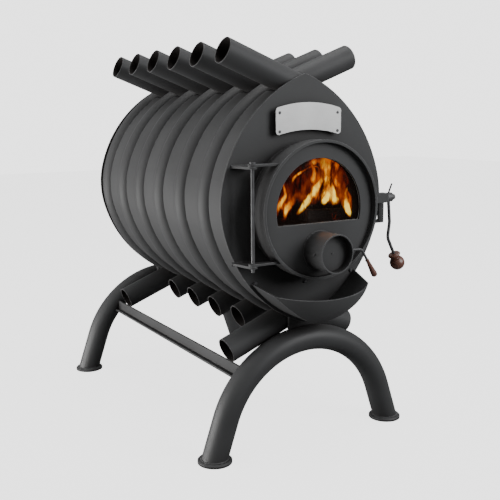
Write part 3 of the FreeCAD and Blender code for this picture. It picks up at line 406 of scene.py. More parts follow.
@dataclass(frozen=True)
class TurnedWood:
    """Waxed hardwood with rings and pores."""

    name: str
    dark: Colour
    light: Colour

    def material(self) -> Material:
        """Build the wood."""
        s = Surface(self.name)
        swirl = s.grain(55.0, 3.0)
        bent = s.times(s.vector("DOT_PRODUCT", s.place, (1.0, 0.35, 0.55)), 1700.0)
        rings = s.math("SINE", s.math("ADD", bent, s.times(swirl, 9.0)))
        pores = s.grain(1500.0, 2.0, (0.3, 1.0, 0.12))
        tone = s.mix(s.spread(rings, 0.0, 1.0, -1.0, 1.0), self.dark, self.light)
        shaded = s.mix(s.spread(pores, 0.45, 0.0, 0.35, 0.55), tone, shade(self.dark, 0.4))
        rough = s.spread(pores, 0.52, 0.34)
        normal = s.bump(pores, 0.3, 0.08 * MM)
        inputs = {"Base Color": shaded, "Roughness": rough, "Normal": normal, "Coat Weight": 0.08,
                  "Coat Roughness": 0.3}
        return s.principled(inputs)


@dataclass(frozen=True)
class FireGlass:
    """Clear ceramic glass, faintly smoked."""

    name: str
    tint: Colour
    clear: float = 0.07
    smoked: float = 0.2

    def material(self) -> Material:
        """Build the glass."""
        s = Surface(self.name)
        haze = s.spread(s.grain(14.0, 4.0), self.clear, self.smoked, 0.45, 0.8)
        inputs = {"Base Color": (*self.tint, 1.0), "Roughness": 0.06, "Alpha": haze, "IOR": 1.5}
        return s.principled(inputs)


@dataclass(frozen=True)
class FibreRope:
    """Braided mineral fibre."""

    name: str
    colour: Colour

    def material(self) -> Material:
        """Build the fibre."""
        s = Surface(self.name)
        hair = s.grain(2600.0, 3.0)
        cloud = s.grain(45.0, 3.0)
        tone = s.mix(s.spread(hair, 0.0, 1.0, 0.3, 0.7), shade(self.colour, 0.55), self.colour)
        sooty = s.mix(s.spread(cloud, 0.0, 0.5, 0.45, 0.75), tone, (0.03, 0.028, 0.026))
        normal = s.bump(hair, 0.6, 0.2 * MM)
        inputs = {"Base Color": sooty, "Roughness": 0.92, "Normal": normal, "Sheen Weight": 0.2}
        return s.principled(inputs)


@dataclass(frozen=True)
class ScaledSteel:
    """Steel dulled and scaled by the fire."""

    name: str
    colour: Colour
    rust: Colour

    def material(self) -> Material:
        """Build the scaled steel."""
        s = Surface(self.name)
        cloud = s.grain(22.0, 6.0)
        flake = s.grain(260.0, 5.0)
        tone = s.mix(s.spread(cloud, 0.0, 0.8, 0.45, 0.7), self.colour, self.rust)
        normal = s.bump(flake, 0.5, 0.3 * MM)
        rough = s.spread(flake, 0.7, 0.95)
        inputs = {"Base Color": tone, "Roughness": rough, "Normal": normal, "Metallic": 0.2}
        return s.principled(inputs)


@dataclass(frozen=True)
class CharredLog:
    """Charred firewood with glowing cracks."""

    name: str
    glow: float

    def material(self) -> Material:
        """Build the char."""
        s = Surface(self.name)
        cells = s.made("ShaderNodeTexVoronoi", {"Vector": s.place, "Scale": 85.0}, feature="DISTANCE_TO_EDGE")
        crack = s.spread(cells, 1.0, 0.0, 0.0, 0.09)
        lit = s.spread(s.grain(20.0, 3.0), 0.0, 1.0, 0.56, 0.72)
        heat = s.times(crack, lit)
        fibre = s.grain(240.0, 4.0, (1.0, 0.12, 1.0))
        tone = s.ramp(fibre, [(0.3, (0.004, 0.003, 0.0025)), (0.62, (0.014, 0.009, 0.007)),
                              (0.85, (0.05, 0.04, 0.035))])
        colour = s.ramp(heat, [(0.0, (0.25, 0.01, 0.0)), (0.5, (1.0, 0.12, 0.01)), (1.0, (1.0, 0.42, 0.08))])
        strength = s.times(heat, self.glow)
        normal = s.bump(s.math("ADD", cells, s.times(fibre, 0.3)), 0.7, 2.0 * MM)
        inputs = {"Base Color": tone, "Roughness": 0.9, "Normal": normal, "Emission Color": colour,
                  "Emission Strength": strength}
        return s.principled(inputs)


@dataclass(frozen=True)
class Embers:
    """Coals: ash grey on top, glowing between."""

    name: str
    glow: float

    def material(self) -> Material:
        """Build the coals."""
        s = Surface(self.name)
        patch = s.grain(38.0, 4.0)
        heat = s.spread(patch, 0.0, 1.0, 0.45, 0.68)
        tone = s.ramp(s.grain(120.0, 4.0), [(0.3, (0.012, 0.009, 0.008)), (0.7, (0.16, 0.14, 0.13))])
        colour = s.ramp(heat, [(0.0, (0.3, 0.01, 0.0)), (0.6, (1.0, 0.16, 0.01)), (1.0, (1.0, 0.5, 0.1))])
        inputs = {"Base Color": tone, "Roughness": 0.95, "Emission Color": colour,
                  "Emission Strength": s.times(heat, self.glow)}
        return s.principled(inputs)


@dataclass(frozen=True)
class Flame:
    """A tongue of flame: bright core, clear edge. Reads the ribbon's own attributes."""

    name: str
    glow: float

    def material(self) -> Material:
        """Build the flame."""
        s = Surface(self.name)
        rise, core, hot = (s.add("ShaderNodeAttribute", attribute_name=name).outputs["Fac"]
                           for name in ("rise", "core", "hot"))
        wave = s.grain(60.0, 3.0, (1.0, 1.0, 0.45))
        lick = s.grain(150.0, 4.0, (1.0, 1.0, 0.3))
        ragged = s.math("ADD", s.spread(wave, -0.45, 0.45, 0.3, 0.7), s.spread(lick, -0.22, 0.22, 0.3, 0.7))
        body = s.math("ADD", core, ragged)
        fade = s.times(s.spread(rise, 1.0, 0.42, 0.2, 1.0), s.spread(rise, 0.35, 1.0, 0.0, 0.24))
        heat = s.times(s.times(body, hot), fade)
        colour = s.ramp(heat, [(0.0, (0.1, 0.002, 0.0)), (0.2, (0.5, 0.03, 0.001)),
                               (0.45, (0.95, 0.15, 0.003)), (0.7, (1.0, 0.4, 0.012)),
                               (0.95, (1.0, 0.68, 0.08))])
        strength = s.times(s.math("POWER", s.spread(heat, 0.1, 1.0), 1.7), self.glow)
        tips = s.times(s.spread(rise, 1.0, 0.0, 0.7, 1.0), s.spread(rise, 0.0, 1.0, 0.0, 0.2))
        veil = s.times(s.spread(body, 0.0, 0.95, 0.28, 0.9), tips)
        light = s.made("ShaderNodeEmission", {"Color": colour, "Strength": strength})
        clear = s.made("ShaderNodeBsdfTransparent")
        return s.finish(s.made("ShaderNodeMixShader", {0: veil, 1: clear, 2: light}))


@dataclass(frozen=True)
class PaleFloor:
    """Pale studio floor that throws little light back up: its brightness is for the camera only."""

    name: str
    seen: Colour
    bounce: Colour
    lift: float

    def material(self) -> Material:
        """Build the floor."""
        s = Surface(self.name)
        dim = s.made("ShaderNodeBsdfDiffuse", {"Color": (*self.bounce, 1.0)})
        lifted = s.made("ShaderNodeEmission", {"Color": (*self.seen, 1.0), "Strength": self.lift})
        bright = s.made("ShaderNodeAddShader", {0: dim, 1: lifted})
        direct = s.add("ShaderNodeLightPath").outputs["Is Camera Ray"]
        return s.finish(s.made("ShaderNodeMixShader", {0: direct, 1: dim, 2: bright}))


class NodeTree(NodeSketch):
    """A Geometry Nodes tree with named inputs, ending in Realize Instances and Set Material."""

    def __init__(self, name: str, sizes: Sizes) -> None:
        """Start a tree.

        Args:
            name: the tree's name.
            sizes: the named inputs and their defaults.
        """
        tree = bpy.data.node_groups.new(name, "GeometryNodeTree")
        super().__init__(tree)
        tree.interface.new_socket("Geometry", in_out="INPUT", socket_type="NodeSocketGeometry")
        tree.interface.new_socket("Geometry", in_out="OUTPUT", socket_type="NodeSocketGeometry")
        for label, value in sizes.items():
            kind = "NodeSocketInt" if isinstance(value, int) else "NodeSocketFloat"
            socket = tree.interface.new_socket(label, in_out="INPUT", socket_type=kind)
            socket.default_value = value
        self.inputs = self.add("NodeGroupInput").outputs

    def close(self, geometry: Socket, material: Material) -> Tree:
        """Realize, smooth and dress the result.

        Args:
            geometry: what the tree has made.
            material: its finish.

        Returns:
            The finished tree.
        """
        real = self.made("GeometryNodeRealizeInstances", {0: geometry})
        smooth = self.made("GeometryNodeSetShadeSmooth", {0: real})
        dressed = self.made("GeometryNodeSetMaterial", {0: smooth, "Material": material})
        self.add("NodeGroupOutput", {0: dressed})
        return self.tree


def link(name: str, mesh: Mesh) -> Piece:
    """Put a mesh into the scene as an object at the origin."""
    piece = bpy.data.objects.new(name, mesh)
    bpy.context.scene.collection.objects.link(piece)
    return piece


def path_mesh(name: str, routes: Iterable[Sequence[Vector]], closed: bool) -> Mesh:
    """Loose edges along several routes, as a seed for a tree."""
    points: list[Vector] = []
    edges: list[tuple[int, int]] = []
    for route in routes:
        start = len(points)
        points.extend(route)
        edges.extend((start + i, start + i + 1) for i in range(len(route) - 1))
        if closed:
            edges.append((len(points) - 1, start))
    mesh = bpy.data.meshes.new(name)
    mesh.from_pydata([tuple(p) for p in points], edges, [])
    return mesh


def grow(name: str, tree: Tree, seed: Mesh, sizes: Sizes) -> Piece:
    """Run a tree on a seed mesh and keep the result as a plain mesh.

    Args:
        name: the piece's name.
        tree: the Geometry Nodes tree.
        seed: points, edges or faces that the tree starts from.
        sizes: values for the tree's named inputs.

    Returns:
        The new piece, with no modifier on it.
    """
    source = link(name + "_seed", seed)
    modifier = source.modifiers.new("grow", "NODES")
    modifier.node_group = tree
    for item in tree.interface.items_tree:
        if item.item_type == "SOCKET" and item.in_out == "INPUT" and item.name in sizes:
            modifier[item.identifier] = sizes[item.name]
    depsgraph = bpy.context.evaluated_depsgraph_get()
    mesh = bpy.data.meshes.new_from_object(source.evaluated_get(depsgraph), depsgraph=depsgraph)
    mesh.name = name
    bpy.data.objects.remove(source)
    return link(name, mesh)


def angles_round(steps: int, closed: bool = False) -> list[float]:
    """Angles once round, with the full turn at the end if closed."""
    return [2 * math.pi * i / steps for i in range(steps + closed)]


def round_route(middle: Vector, radius: float, steps: int, closed: bool = False) -> list[Vector]:
    """Round route in a plane across Y, back to its first point if closed."""
    return [middle + Vector((radius * math.cos(a), 0.0, radius * math.sin(a)))
            for a in angles_round(steps, closed)]


def rough_at(place: Vector) -> float:
    """Fractal noise of four octaves at a place."""
    return noise.fractal(place, 1.0, 2.0, 4)


def mesh_of(name: str, shape: Shape, material: Material | None = None) -> Mesh:
    """Make a shape under construction a mesh, with its finish if one is given."""
    mesh = bpy.data.meshes.new(name)
    shape.to_mesh(mesh)
    shape.free()
    if material is not None:
        mesh.materials.append(material)
    return mesh


def closed_mesh(name: str, shape: Shape, material: Material | None = None) -> Mesh:
    """Turn a closed shape's faces outwards, smooth them and make it a mesh."""
    bmesh.ops.recalc_face_normals(shape, faces=shape.faces)
    for face in shape.faces:
        face.smooth = True
    return mesh_of(name, shape, material)


def skin(shape: Shape, rows: Sequence[Sequence[bmesh.types.BMVert]], steps: int) -> None:
    """Close rows of points with faces; a row of one point is a pole."""
    for low, high in zip(rows, rows[1:]):
        for i in range(steps):
            k = i + 1
            corners = [low[i % len(low)], low[k % len(low)], high[k % len(high)], high[i % len(high)]]
            shape.faces.new(list(dict.fromkeys(corners)))


def lathe(name: str, profile: Sequence[tuple[float, float]], steps: int, turn: Matrix) -> Mesh:
    """Turn a profile about its own Z axis.

    Args:
        name: the mesh's name.
        profile: radius and height, from the first pole to the last.
        steps: faces round the axis.
        turn: puts the turned shape in its place.

    Returns:
        A closed mesh with smooth faces.
    """
    shape = bmesh.new()
    rows = []
    for radius, height in profile:
        if radius < POLE_RADIUS:
            rows.append([shape.verts.new(turn @ Vector((0.0, 0.0, height)))])
            continue
        rows.append([shape.verts.new(turn @ Vector((radius * math.cos(a), radius * math.sin(a), height)))
                     for a in angles_round(steps)])
    skin(shape, rows, steps)
    return closed_mesh(name, shape)


def centre(node: str) -> Vector:
    """Middle of a CAD node's box."""
    low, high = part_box(node)
    return (low + high) / 2


def smooth_path(points: Sequence[Vector], steps: int) -> list[Vector]:
    """Catmull-Rom points through a line of points."""
    result = []
    last = len(points) - 1
    for i in range(last):
        a, b, c, e = (points[min(max(i + k, 0), last)] for k in (-1, 0, 1, 2))
        for k in range(steps):
            t = k / steps
            result.append(0.5 * (2 * b + (c - a) * t + (2 * a - 5 * b + 4 * c - e) * t * t +
                                 (3 * b - a - 3 * c + e) * t ** 3))
    result.append(points[-1])
    return result


def smooth_steps(points: Sequence[tuple[float, float]], steps: int) -> list[tuple[float, float]]:
    """Rounded line through a turned profile."""
    return [(max(p.x, 0.0), p.y) for p in smooth_path([Vector(q) for q in points], steps)]


@dataclass
class Wardrobe:
    """One material for each slot of the record."""

    crossing: float = 262.9 * MM
    # Edge colours of the paints: partly paint wear, partly a painted highlight.
    edge_wear_and_highlight: Colour = (0.13, 0.13, 0.133)
    leg_edge_wear_and_highlight: Colour = (0.08, 0.08, 0.082)
    coats: dict[Coat, Material] = field(default_factory=dict)

    def make(self) -> None:
        """Build the materials of the record's slots."""
        soot = Soot(centre("front_plate").z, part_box("front_plate")[1].y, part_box("rear_plate")[0].y,
                    centre("door_ring").z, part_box("door_panel")[0].y)
        first_tube = centre("right_air_tube_1")
        step = centre("left_air_tube_1").y - first_tube.y
        # Painted shade inside the straight tube ends.
        bore_shade = PaintedBoreShade(soot.axis, first_tube.y, step, self.crossing)
        finishes = {
            Coat.BODY: HeatPaint("heat paint on sheet", (0.036, 0.0363, 0.037), self.edge_wear_and_highlight, 0.62, soot,
                                 gloss=0.14),
            Coat.TUBE: HeatPaint("heat paint on tube", (0.033, 0.0333, 0.034), self.edge_wear_and_highlight, 0.58, soot,
                                 gloss=0.16, bore_shade=bore_shade),
            Coat.LEG: HeatPaint("half-gloss leg paint", (0.028, 0.0283, 0.029), self.leg_edge_wear_and_highlight, 0.5, soot,
                                gloss=0.2),
            Coat.WOOD: TurnedWood("turned wood", (0.045, 0.013, 0.007), (0.11, 0.036, 0.019)),
            Coat.GLASS: FireGlass("fire glass", (0.03, 0.02, 0.016)),
            Coat.ROPE: FibreRope("fibre rope", (0.34, 0.33, 0.31)),
            Coat.PLATE: BrushedPlate("brushed plate", (0.3, 0.3, 0.297)),
            Coat.STEEL: OiledSteel("oiled steel", (0.05, 0.05, 0.052), 0.52),
            Coat.SCALE: ScaledSteel("scaled steel", (0.03, 0.028, 0.027), (0.09, 0.045, 0.026)),
        }
        for coat, finish in finishes.items():
            self.coats[coat] = finish.material()

    def dress(self, frame: dict) -> None:
        """Give every CAD node the finish of its slot."""
        for entry in frame["record"]["subparts"]:
            piece = frame["nodes"][entry["node"]]
            piece.data.materials.clear()
            piece.data.materials.append(self.coats[Coat(entry["material_slot"])])
        LOG.info("dressed %d nodes", len(frame["nodes"]))

    def settle(self, piece: Piece, coat: Coat, body: Body, *nodes: str) -> None:
        """Dress a new piece, put it on a body and let it stand for CAD nodes.

        Args:
            piece: the new piece.
            coat: its finish.
            body: what it rides on.
            nodes: the CAD nodes that it replaces.
        """
        piece.data.materials.clear()
        piece.data.materials.append(self.coats[coat])
        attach(piece, body.value)
        if nodes:
            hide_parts(*nodes)
        LOG.info("%s rides on %s", piece.name, body.value)


class Head(Enum):
    """Kinds of fastener head, by the number of sides."""

    ROUND = 20
    HEX = 6


@dataclass
class Fasteners:
    """A row of like fasteners that point to the front or to the back."""

    name: str
    head: Head
    radius: float
    height: float
    shank_radius: float
    shank_length: float
    facing: float = 1.0
    skirt_share: float = 0.55
    crown_share: float = 0.62
    shank_sides: int = 16

    def sizes(self) -> Sizes:
        """Values for the tree's named inputs."""
        return {"Head Radius": self.radius, "Head Height": self.height, "Sides": self.head.value,
                "Shank Radius": self.shank_radius, "Shank Length": self.shank_length}

    def cone(self, t: NodeTree, sides: object, radii: tuple[object, object], depth: object,
             base: object) -> Socket:
        """One stretch of the fastener.

        Args:
            t: the tree under construction.
            sides: number of sides.
            radii: lower and upper radius.
            depth: height of the stretch.
            base: height that it stands on.

        Returns:
            The stretch, in its place.
        """
        inputs = {"Vertices": sides, "Radius Bottom": radii[0], "Radius Top": radii[1], "Depth": depth}
        stretch = t.made("GeometryNodeMeshCone", inputs)
        foot = t.made("ShaderNodeCombineXYZ", {"Z": base})
        return t.made("GeometryNodeTransform", {0: stretch, "Translation": foot})

    def tree(self, material: Material) -> Tree:
        """Node tree: a domed or hexagonal head with its shank on every point."""
        t = NodeTree(self.name + "_tree", self.sizes())
        sides, wide, tall = (t.inputs[key] for key in ("Sides", "Head Radius", "Head Height"))
        shank, length = t.inputs["Shank Radius"], t.inputs["Shank Length"]
        skirt = t.times(tall, self.skirt_share)
        crown = t.times(tall, 1.0 - self.skirt_share)
        stretches = (self.cone(t, sides, (wide, wide), skirt, 0.0),
                     self.cone(t, sides, (wide, t.times(wide, self.crown_share)), crown, skirt),
                     self.cone(t, self.shank_sides, (shank, shank), length, t.times(length, -1.0)))
        whole = t.add("GeometryNodeJoinGeometry")
        for stretch in stretches:
            t.tree.links.new(stretch, whole.inputs[0])
        points = t.made("GeometryNodeMeshToPoints", {0: t.inputs["Geometry"]})
        tilt = (math.radians(90.0) * self.facing, 0.0, 0.0)
        spread = t.made("GeometryNodeInstanceOnPoints",
                        {"Points": points, "Instance": whole.outputs[0], "Rotation": tilt})
        return t.close(spread, material)

    def build(self, places: Sequence[Vector], material: Material) -> Piece:
        """Make the row.

        Args:
            places: where the undersides of the heads lie.
            material: the fasteners' finish.

        Returns:
            One plain mesh with all of them.
        """
        seed = path_mesh(self.name, [[p] for p in places], False)
        piece = grow(self.name, self.tree(material), seed, self.sizes())
        for face in piece.data.polygons:
            face.use_smooth = False
        return piece


@dataclass
class Fixings:
    """Rivets, bolts and screws, each row in the place of its CAD node."""

    rivet_radius: float = 3.3 * MM
    rivet_shank: float = 0.98
    bolt_radius: float = 5.0 * MM
    bolt_shank: float = 0.5
    bolt_reach: float = 2.0 * MM
    screw_radius: float = 4.5 * MM
    screw_shank: float = 0.55
    screw_low: float = math.radians(12.0)
    screw_high: float = math.radians(62.0)

    def fit(self, wardrobe: Wardrobe, row: Fasteners, places: Sequence[Vector], body: Body,
            node: str) -> None:
        """Make a row of fasteners and let it stand for its CAD node."""
        wardrobe.settle(row.build(places, wardrobe.coats[Coat.STEEL]), Coat.STEEL, body, node)

    def rivets(self, wardrobe: Wardrobe) -> None:
        """Rivets and spacers of the name plate."""
        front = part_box("name_plate")[0].y
        low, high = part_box("name_plate_rivets")
        r = self.rivet_radius
        places = [Vector((x, front, z)) for x in (low.x + r, high.x - r) for z in (low.z + r, high.z - r)]
        row = Fasteners("plate_rivets", Head.ROUND, r, front - low.y, r * self.rivet_shank, high.y - front)
        self.fit(wardrobe, row, places, Body.STOVE, "name_plate_rivets")

    def bolts(self, wardrobe: Wardrobe) -> None:
        """Hexagon bolts that hold the ash lip, the middle one lowest."""
        low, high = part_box("ash_lip_bolts")
        r = self.bolt_radius
        spots = ((low.x + r, high.z - r), ((low.x + high.x) / 2, low.z + r), (high.x - r, high.z - r))
        places = [Vector((x, high.y, z)) for x, z in spots]
        row = Fasteners("lip_bolts", Head.HEX, r, high.y - low.y, r * self.bolt_shank, self.bolt_reach)
        self.fit(wardrobe, row, places, Body.STOVE, "ash_lip_bolts")

    def screws(self, wardrobe: Wardrobe) -> None:
        """Screws behind the glass retainer, heads towards the fire."""
        low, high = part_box("retainer_screws")
        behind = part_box("glass_retainer")[1].y
        r = self.screw_radius
        middle = centre("door_ring")
        circle = (high.x - low.x - 2 * r) / 2 / math.cos(self.screw_low)
        angles = [self.screw_low, self.screw_high, math.pi - self.screw_high, math.pi - self.screw_low]
        places = [Vector((middle.x + circle * math.cos(a), behind, middle.z + circle * math.sin(a)))
                  for a in angles]
        row = Fasteners("retainer_screw_row", Head.ROUND, r, high.y - behind, r * self.screw_shank,
                        behind - low.y, -1.0)
        self.fit(wardrobe, row, places, Body.DOOR, "retainer_screws")

    def build(self, wardrobe: Wardrobe) -> None:
        """Make all rows."""
        self.rivets(wardrobe)
        self.bolts(wardrobe)
        self.screws(wardrobe)


@dataclass
class DoorRope:
    """Twisted rope seal, pressed flat between the door and its collar."""

    width: float = 12.0 * MM
    twist: float = 9.0 * MM
    lobes: int = 4
    notch: float = 0.74
    steps: int = 700

    def tree(self, sizes: Sizes, middle: Vector, material: Material) -> Tree:
        """Node tree: a lobed section swept along a wound loop and pressed flat.

        Args:
            sizes: the tree's named inputs and their values.
            middle: where the middle of the loop lies.
            material: the rope's finish.

        Returns:
            The finished tree.
        """
        t = NodeTree("rope_tree", sizes)
        size = t.inputs
        loop = t.made("GeometryNodeMeshToCurve", {0: size["Geometry"]})
        share = t.math("DIVIDE", t.made("GeometryNodeInputIndex"), float(self.steps))
        wind = t.times(t.times(share, size["Turns"]), 2 * math.pi / self.lobes)
        tilted = t.made("GeometryNodeSetCurveTilt", {0: loop, "Tilt": wind})
        half = t.times(size["Width"], 0.5)
        star = t.made("GeometryNodeCurveStar", {"Points": self.lobes, "Outer Radius": half,
                                                "Inner Radius": t.times(half, self.notch)})
        swept = t.made("GeometryNodeCurveToMesh", {"Curve": tilted, "Profile Curve": star})
        flat = t.math("DIVIDE", size["Thickness"], size["Width"])
        squeeze = t.made("ShaderNodeCombineXYZ", {"X": 1.0, "Y": flat, "Z": 1.0})
        pressed = t.made("GeometryNodeTransform", {0: swept, "Scale": squeeze})
        placed = t.made("GeometryNodeTransform", {0: pressed, "Translation": tuple(middle)})
        return t.close(placed, material)

    def build(self, wardrobe: Wardrobe) -> None:
        """Make the rope in place of its plain ring."""
        low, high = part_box("door_rope_seal")
        radius = (high.x - low.x) / 2 - self.width / 2
        sizes = {"Width": self.width, "Thickness": high.y - low.y, "Turns": 2 * math.pi * radius / self.twist}
        tree = self.tree(sizes, centre("door_rope_seal"), wardrobe.coats[Coat.ROPE])
        seed = path_mesh("rope_route", [round_route(Vector(), radius, self.steps)], True)
        piece = grow("twisted_door_rope", tree, seed, sizes)
        wardrobe.settle(piece, Coat.ROPE, Body.DOOR, "door_rope_seal")


@dataclass
class WoodenHandles:
    """The ball knob of the latch and the tapered grip of the throttle, both turned."""

    steps: int = 48
    fine: int = 4
    knob_lean: float = math.radians(27.1)
    flange: float = 15.0 * MM
    flange_height: float = 7.0 * MM
    waist: float = 6.0 * MM
    neck: float = 9.5 * MM
    ball: float = 18.0 * MM
    ball_steps: int = 12
    grip_lean: float = math.radians(32.0)
    grip_top: float = 4.4 * MM
    grip_end: float = 7.0 * MM
    grip_length: float = 50.0 * MM

    def scaled(self, radius: float, rows: Sequence[tuple[float, float]]) -> list[tuple[float, float]]:
        """Points of a profile, from shares of a radius and heights in millimetres."""
        return [(share * radius, height * MM) for share, height in rows]

    def turned(self, name: str, profile: Sequence[tuple[float, float]], lean: float, start: Vector) -> Piece:
        """Turn a rounded profile on an axis that runs down and outwards from a start point."""
        axis = Matrix.Translation(start) @ Matrix.Rotation(math.pi - lean, 4, "Y")
        return link(name, lathe(name, smooth_steps(profile, self.fine), self.steps, axis))

    def knob(self, wardrobe: Wardrobe) -> None:
        """Flange, waist and ball."""
        low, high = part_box("latch_knob")
        way = Vector((math.sin(self.knob_lean), 0.0, -math.cos(self.knob_lean)))
        ball_at = Vector((high.x - self.ball, (low.y + high.y) / 2, low.z + self.ball))
        reach = self.flange_height + self.waist + self.ball - self.neck / 2
        profile = self.scaled(self.flange, ((0.0, 0.0), (0.55, 0.0), (0.86, 0.4), (0.99, 2.2), (1.0, 4.0),
                                            (0.92, 6.0), (0.72, 7.4)))
        profile += self.scaled(self.neck, ((1.0, 10.0), (1.02, 12.5)))
        for step in range(3, self.ball_steps):
            angle = math.pi * step / self.ball_steps
            profile.append((self.ball * math.sin(angle), reach - self.ball * math.cos(angle)))
        profile.append((0.0, reach + self.ball))
        piece = self.turned("turned_knob", profile, self.knob_lean, ball_at - way * reach)
        wardrobe.settle(piece, Coat.WOOD, Body.LATCH, "latch_knob")

    def grip(self, wardrobe: Wardrobe) -> None:
        """Pear-shaped grip on the throttle rod."""
        low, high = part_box("throttle_grip")
        end = self.grip_end
        way = Vector((math.sin(self.grip_lean), 0.0, -math.cos(self.grip_lean)))
        side = Vector((math.cos(self.grip_lean), 0.0, math.sin(self.grip_lean)))
        tip = Vector((high.x - side.x * end, (low.y + high.y) / 2, low.z + side.z * end))
        profile = self.scaled(self.grip_top, ((0.0, 0.0), (0.7, 0.0), (1.0, 1.2), (1.05, 4.0), (0.92, 7.0),
                                              (1.05, 14.0)))
        profile += self.scaled(end, ((0.8, 26.0), (0.97, 38.0), (1.0, 44.0), (0.9, 47.6), (0.6, 49.5)))
        profile.append((0.0, self.grip_length))
        piece = self.turned("turned_grip", profile, self.grip_lean, tip - way * self.grip_length)
        wardrobe.settle(piece, Coat.WOOD, Body.THROTTLE, "throttle_grip")

    def build(self, wardrobe: Wardrobe) -> None:
        """Make both handles."""
        self.knob(wardrobe)
        self.grip(wardrobe)


@dataclass
class WeldSeams:
    """Rippled fillet welds where the plates, rings and tubes meet."""

    pitch: float = 2.6 * MM
    leg: float = 2.4 * MM
    uneven: tuple[float, float] = (0.82, 1.12)
    seed: int = 11
    ring_steps: int = 180
    spigot_radius: float = 75.0 * MM
    foot_lean: float = math.radians(19.0)
    foot_radius: float = 30.15 * MM
    foot_steps: int = 72

    def sizes(self) -> Sizes:
        """Values for the tree's named inputs."""
        return {"Pitch": self.pitch, "Leg": self.leg, "Seed": self.seed}

    def tree(self, material: Material) -> Tree:
        """Node tree: overlapping drops along every route."""
        t = NodeTree("weld_tree", self.sizes())
        size = t.inputs
        curve = t.made("GeometryNodeMeshToCurve", {0: size["Geometry"]})
        points = t.made("GeometryNodeCurveToPoints", {0: curve, "Length": size["Pitch"]}, mode="LENGTH")
        drop = t.made("GeometryNodeMeshUVSphere", {"Segments": 8, "Rings": 6, "Radius": size["Leg"]})
        spans = {2: self.uneven[0], 3: self.uneven[1], "Seed": size["Seed"]}
        scale = t.add("FunctionNodeRandomValue", spans, data_type="FLOAT").outputs[1]
        spread = t.made("GeometryNodeInstanceOnPoints", {"Points": points, "Instance": drop, "Scale": scale})
        return t.close(spread, material)

    def ring_route(self, node: str, y: float, radius: float | None = None) -> list[Vector]:
        """Round route about a ring node at one depth, on its outside unless a radius is given."""
        low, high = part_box(node)
        middle = Vector(((low.x + high.x) / 2, y, (low.z + high.z) / 2))
        return round_route(middle, radius or (high.x - low.x) / 2, self.ring_steps, True)

    def foot_routes(self) -> list[list[Vector]]:
        """Ellipses where the legs stand on their pads."""
        routes = []
        narrow = self.foot_radius
        wide = narrow / math.cos(self.foot_lean)
        for node in ("front_left_foot", "front_right_foot", "rear_left_foot", "rear_right_foot"):
            middle, top = centre(node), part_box(node)[1].z
            routes.append([Vector((middle.x + wide * math.cos(a), middle.y + narrow * math.sin(a), top))
                           for a in angles_round(self.foot_steps, True)])
        return routes

    def edge_routes(self) -> list[list[Vector]]:
        """Straight seams of the hinge brackets and the latch keeper on the front plate."""
        routes = []
        for node in ("upper_hinge_bracket", "lower_hinge_bracket", "latch_keeper"):
            low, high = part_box(node)
            routes += [[Vector((low.x, high.y, z)), Vector((high.x, high.y, z))] for z in (low.z, high.z)]
        return routes

    def build(self, wardrobe: Wardrobe) -> None:
        """Make the seams of the stove and of the door."""
        stove = [self.ring_route("door_collar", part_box("front_plate")[0].y),
                 self.ring_route("flue_spigot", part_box("rear_plate")[1].y, self.spigot_radius),
                 *self.foot_routes(), *self.edge_routes()]
        door = [self.ring_route("air_inlet_tube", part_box("door_panel")[0].y)]
        tree = self.tree(wardrobe.coats[Coat.BODY])
        for name, routes, body in (("stove_welds", stove, Body.STOVE), ("door_welds", door, Body.DOOR)):
            piece = grow(name, tree, path_mesh(name + "_routes", routes, False), self.sizes())
            wardrobe.settle(piece, Coat.BODY, body)


@dataclass(frozen=True)
class Tongue:
    """One drawn flame: its spine across the sight of the window, as side, height and width."""

    spine: tuple[tuple[float, float, float], ...]
    hot: float
    depth: float = 0.0


TONGUES = (
    Tongue(((128, 562, 44), (130, 586, 36), (127, 612, 27), (122, 636, 26), (118, 658, 36), (117, 690, 60)),
           1.0),
    Tongue(((146, 560, 26), (143, 580, 20), (136, 604, 12), (132, 626, 5)), 1.1, -6),
    Tongue(((112, 562, 12), (121, 575, 18), (126, 600, 16), (124, 628, 5)), 1.15, -9),
    Tongue(((50, 536, 8), (66, 554, 16), (82, 576, 20), (96, 596, 20), (109, 618, 15), (115, 645, 10)),
           1.15, -4),
    Tongue(((76, 560, 34), (88, 580, 40), (98, 604, 36), (106, 632, 26), (112, 664, 30)), 0.55, 14),
    Tongue(((0, 536, 9), (12, 564, 13), (23, 584, 9), (19, 606, 5), (17, 622, 3)), 0.72, 2),
    Tongue(((22, 524, 9), (25, 550, 16), (39, 568, 20), (50, 592, 6)), 0.74, -3),
    Tongue(((30, 540, 20), (34, 562, 24), (36, 584, 12), (40, 604, 5)), 0.42, 12),
    Tongue(((186, 528, 8), (172, 554, 20), (168, 578, 18), (174, 604, 3)), 1.1, -2),
    Tongue(((178, 536, 24), (182, 560, 22), (178, 584, 10), (170, 602, 4)), 0.55, 10),
    Tongue(((160, 586, 12), (150, 612, 20), (145, 638, 18), (148, 662, 16), (150, 684, 14)), 0.6, 6),
    Tongue(((38, 612, 4), (46, 628, 8), (62, 640, 7), (84, 652, 7), (101, 652, 5), (106, 640, 4)), 0.7, 4),
    Tongue(((70, 650, 12), (88, 662, 16), (112, 668, 22), (140, 670, 20), (158, 664, 8)), 0.55, 8),
    Tongue(((96, 610, 10), (90, 624, 16), (92, 642, 14), (84, 660, 10), (74, 676, 6)), 0.6, 2),
    Tongue(((60, 560, 40), (70, 590, 60), (90, 630, 70), (110, 680, 60)), 0.3, 24),
    Tongue(((150, 560, 60), (155, 590, 60), (150, 630, 60), (140, 680, 50)), 0.3, 26),
    Tongue(((20, 530, 40), (26, 570, 50), (36, 620, 40), (56, 670, 30)), 0.24, 26),
)


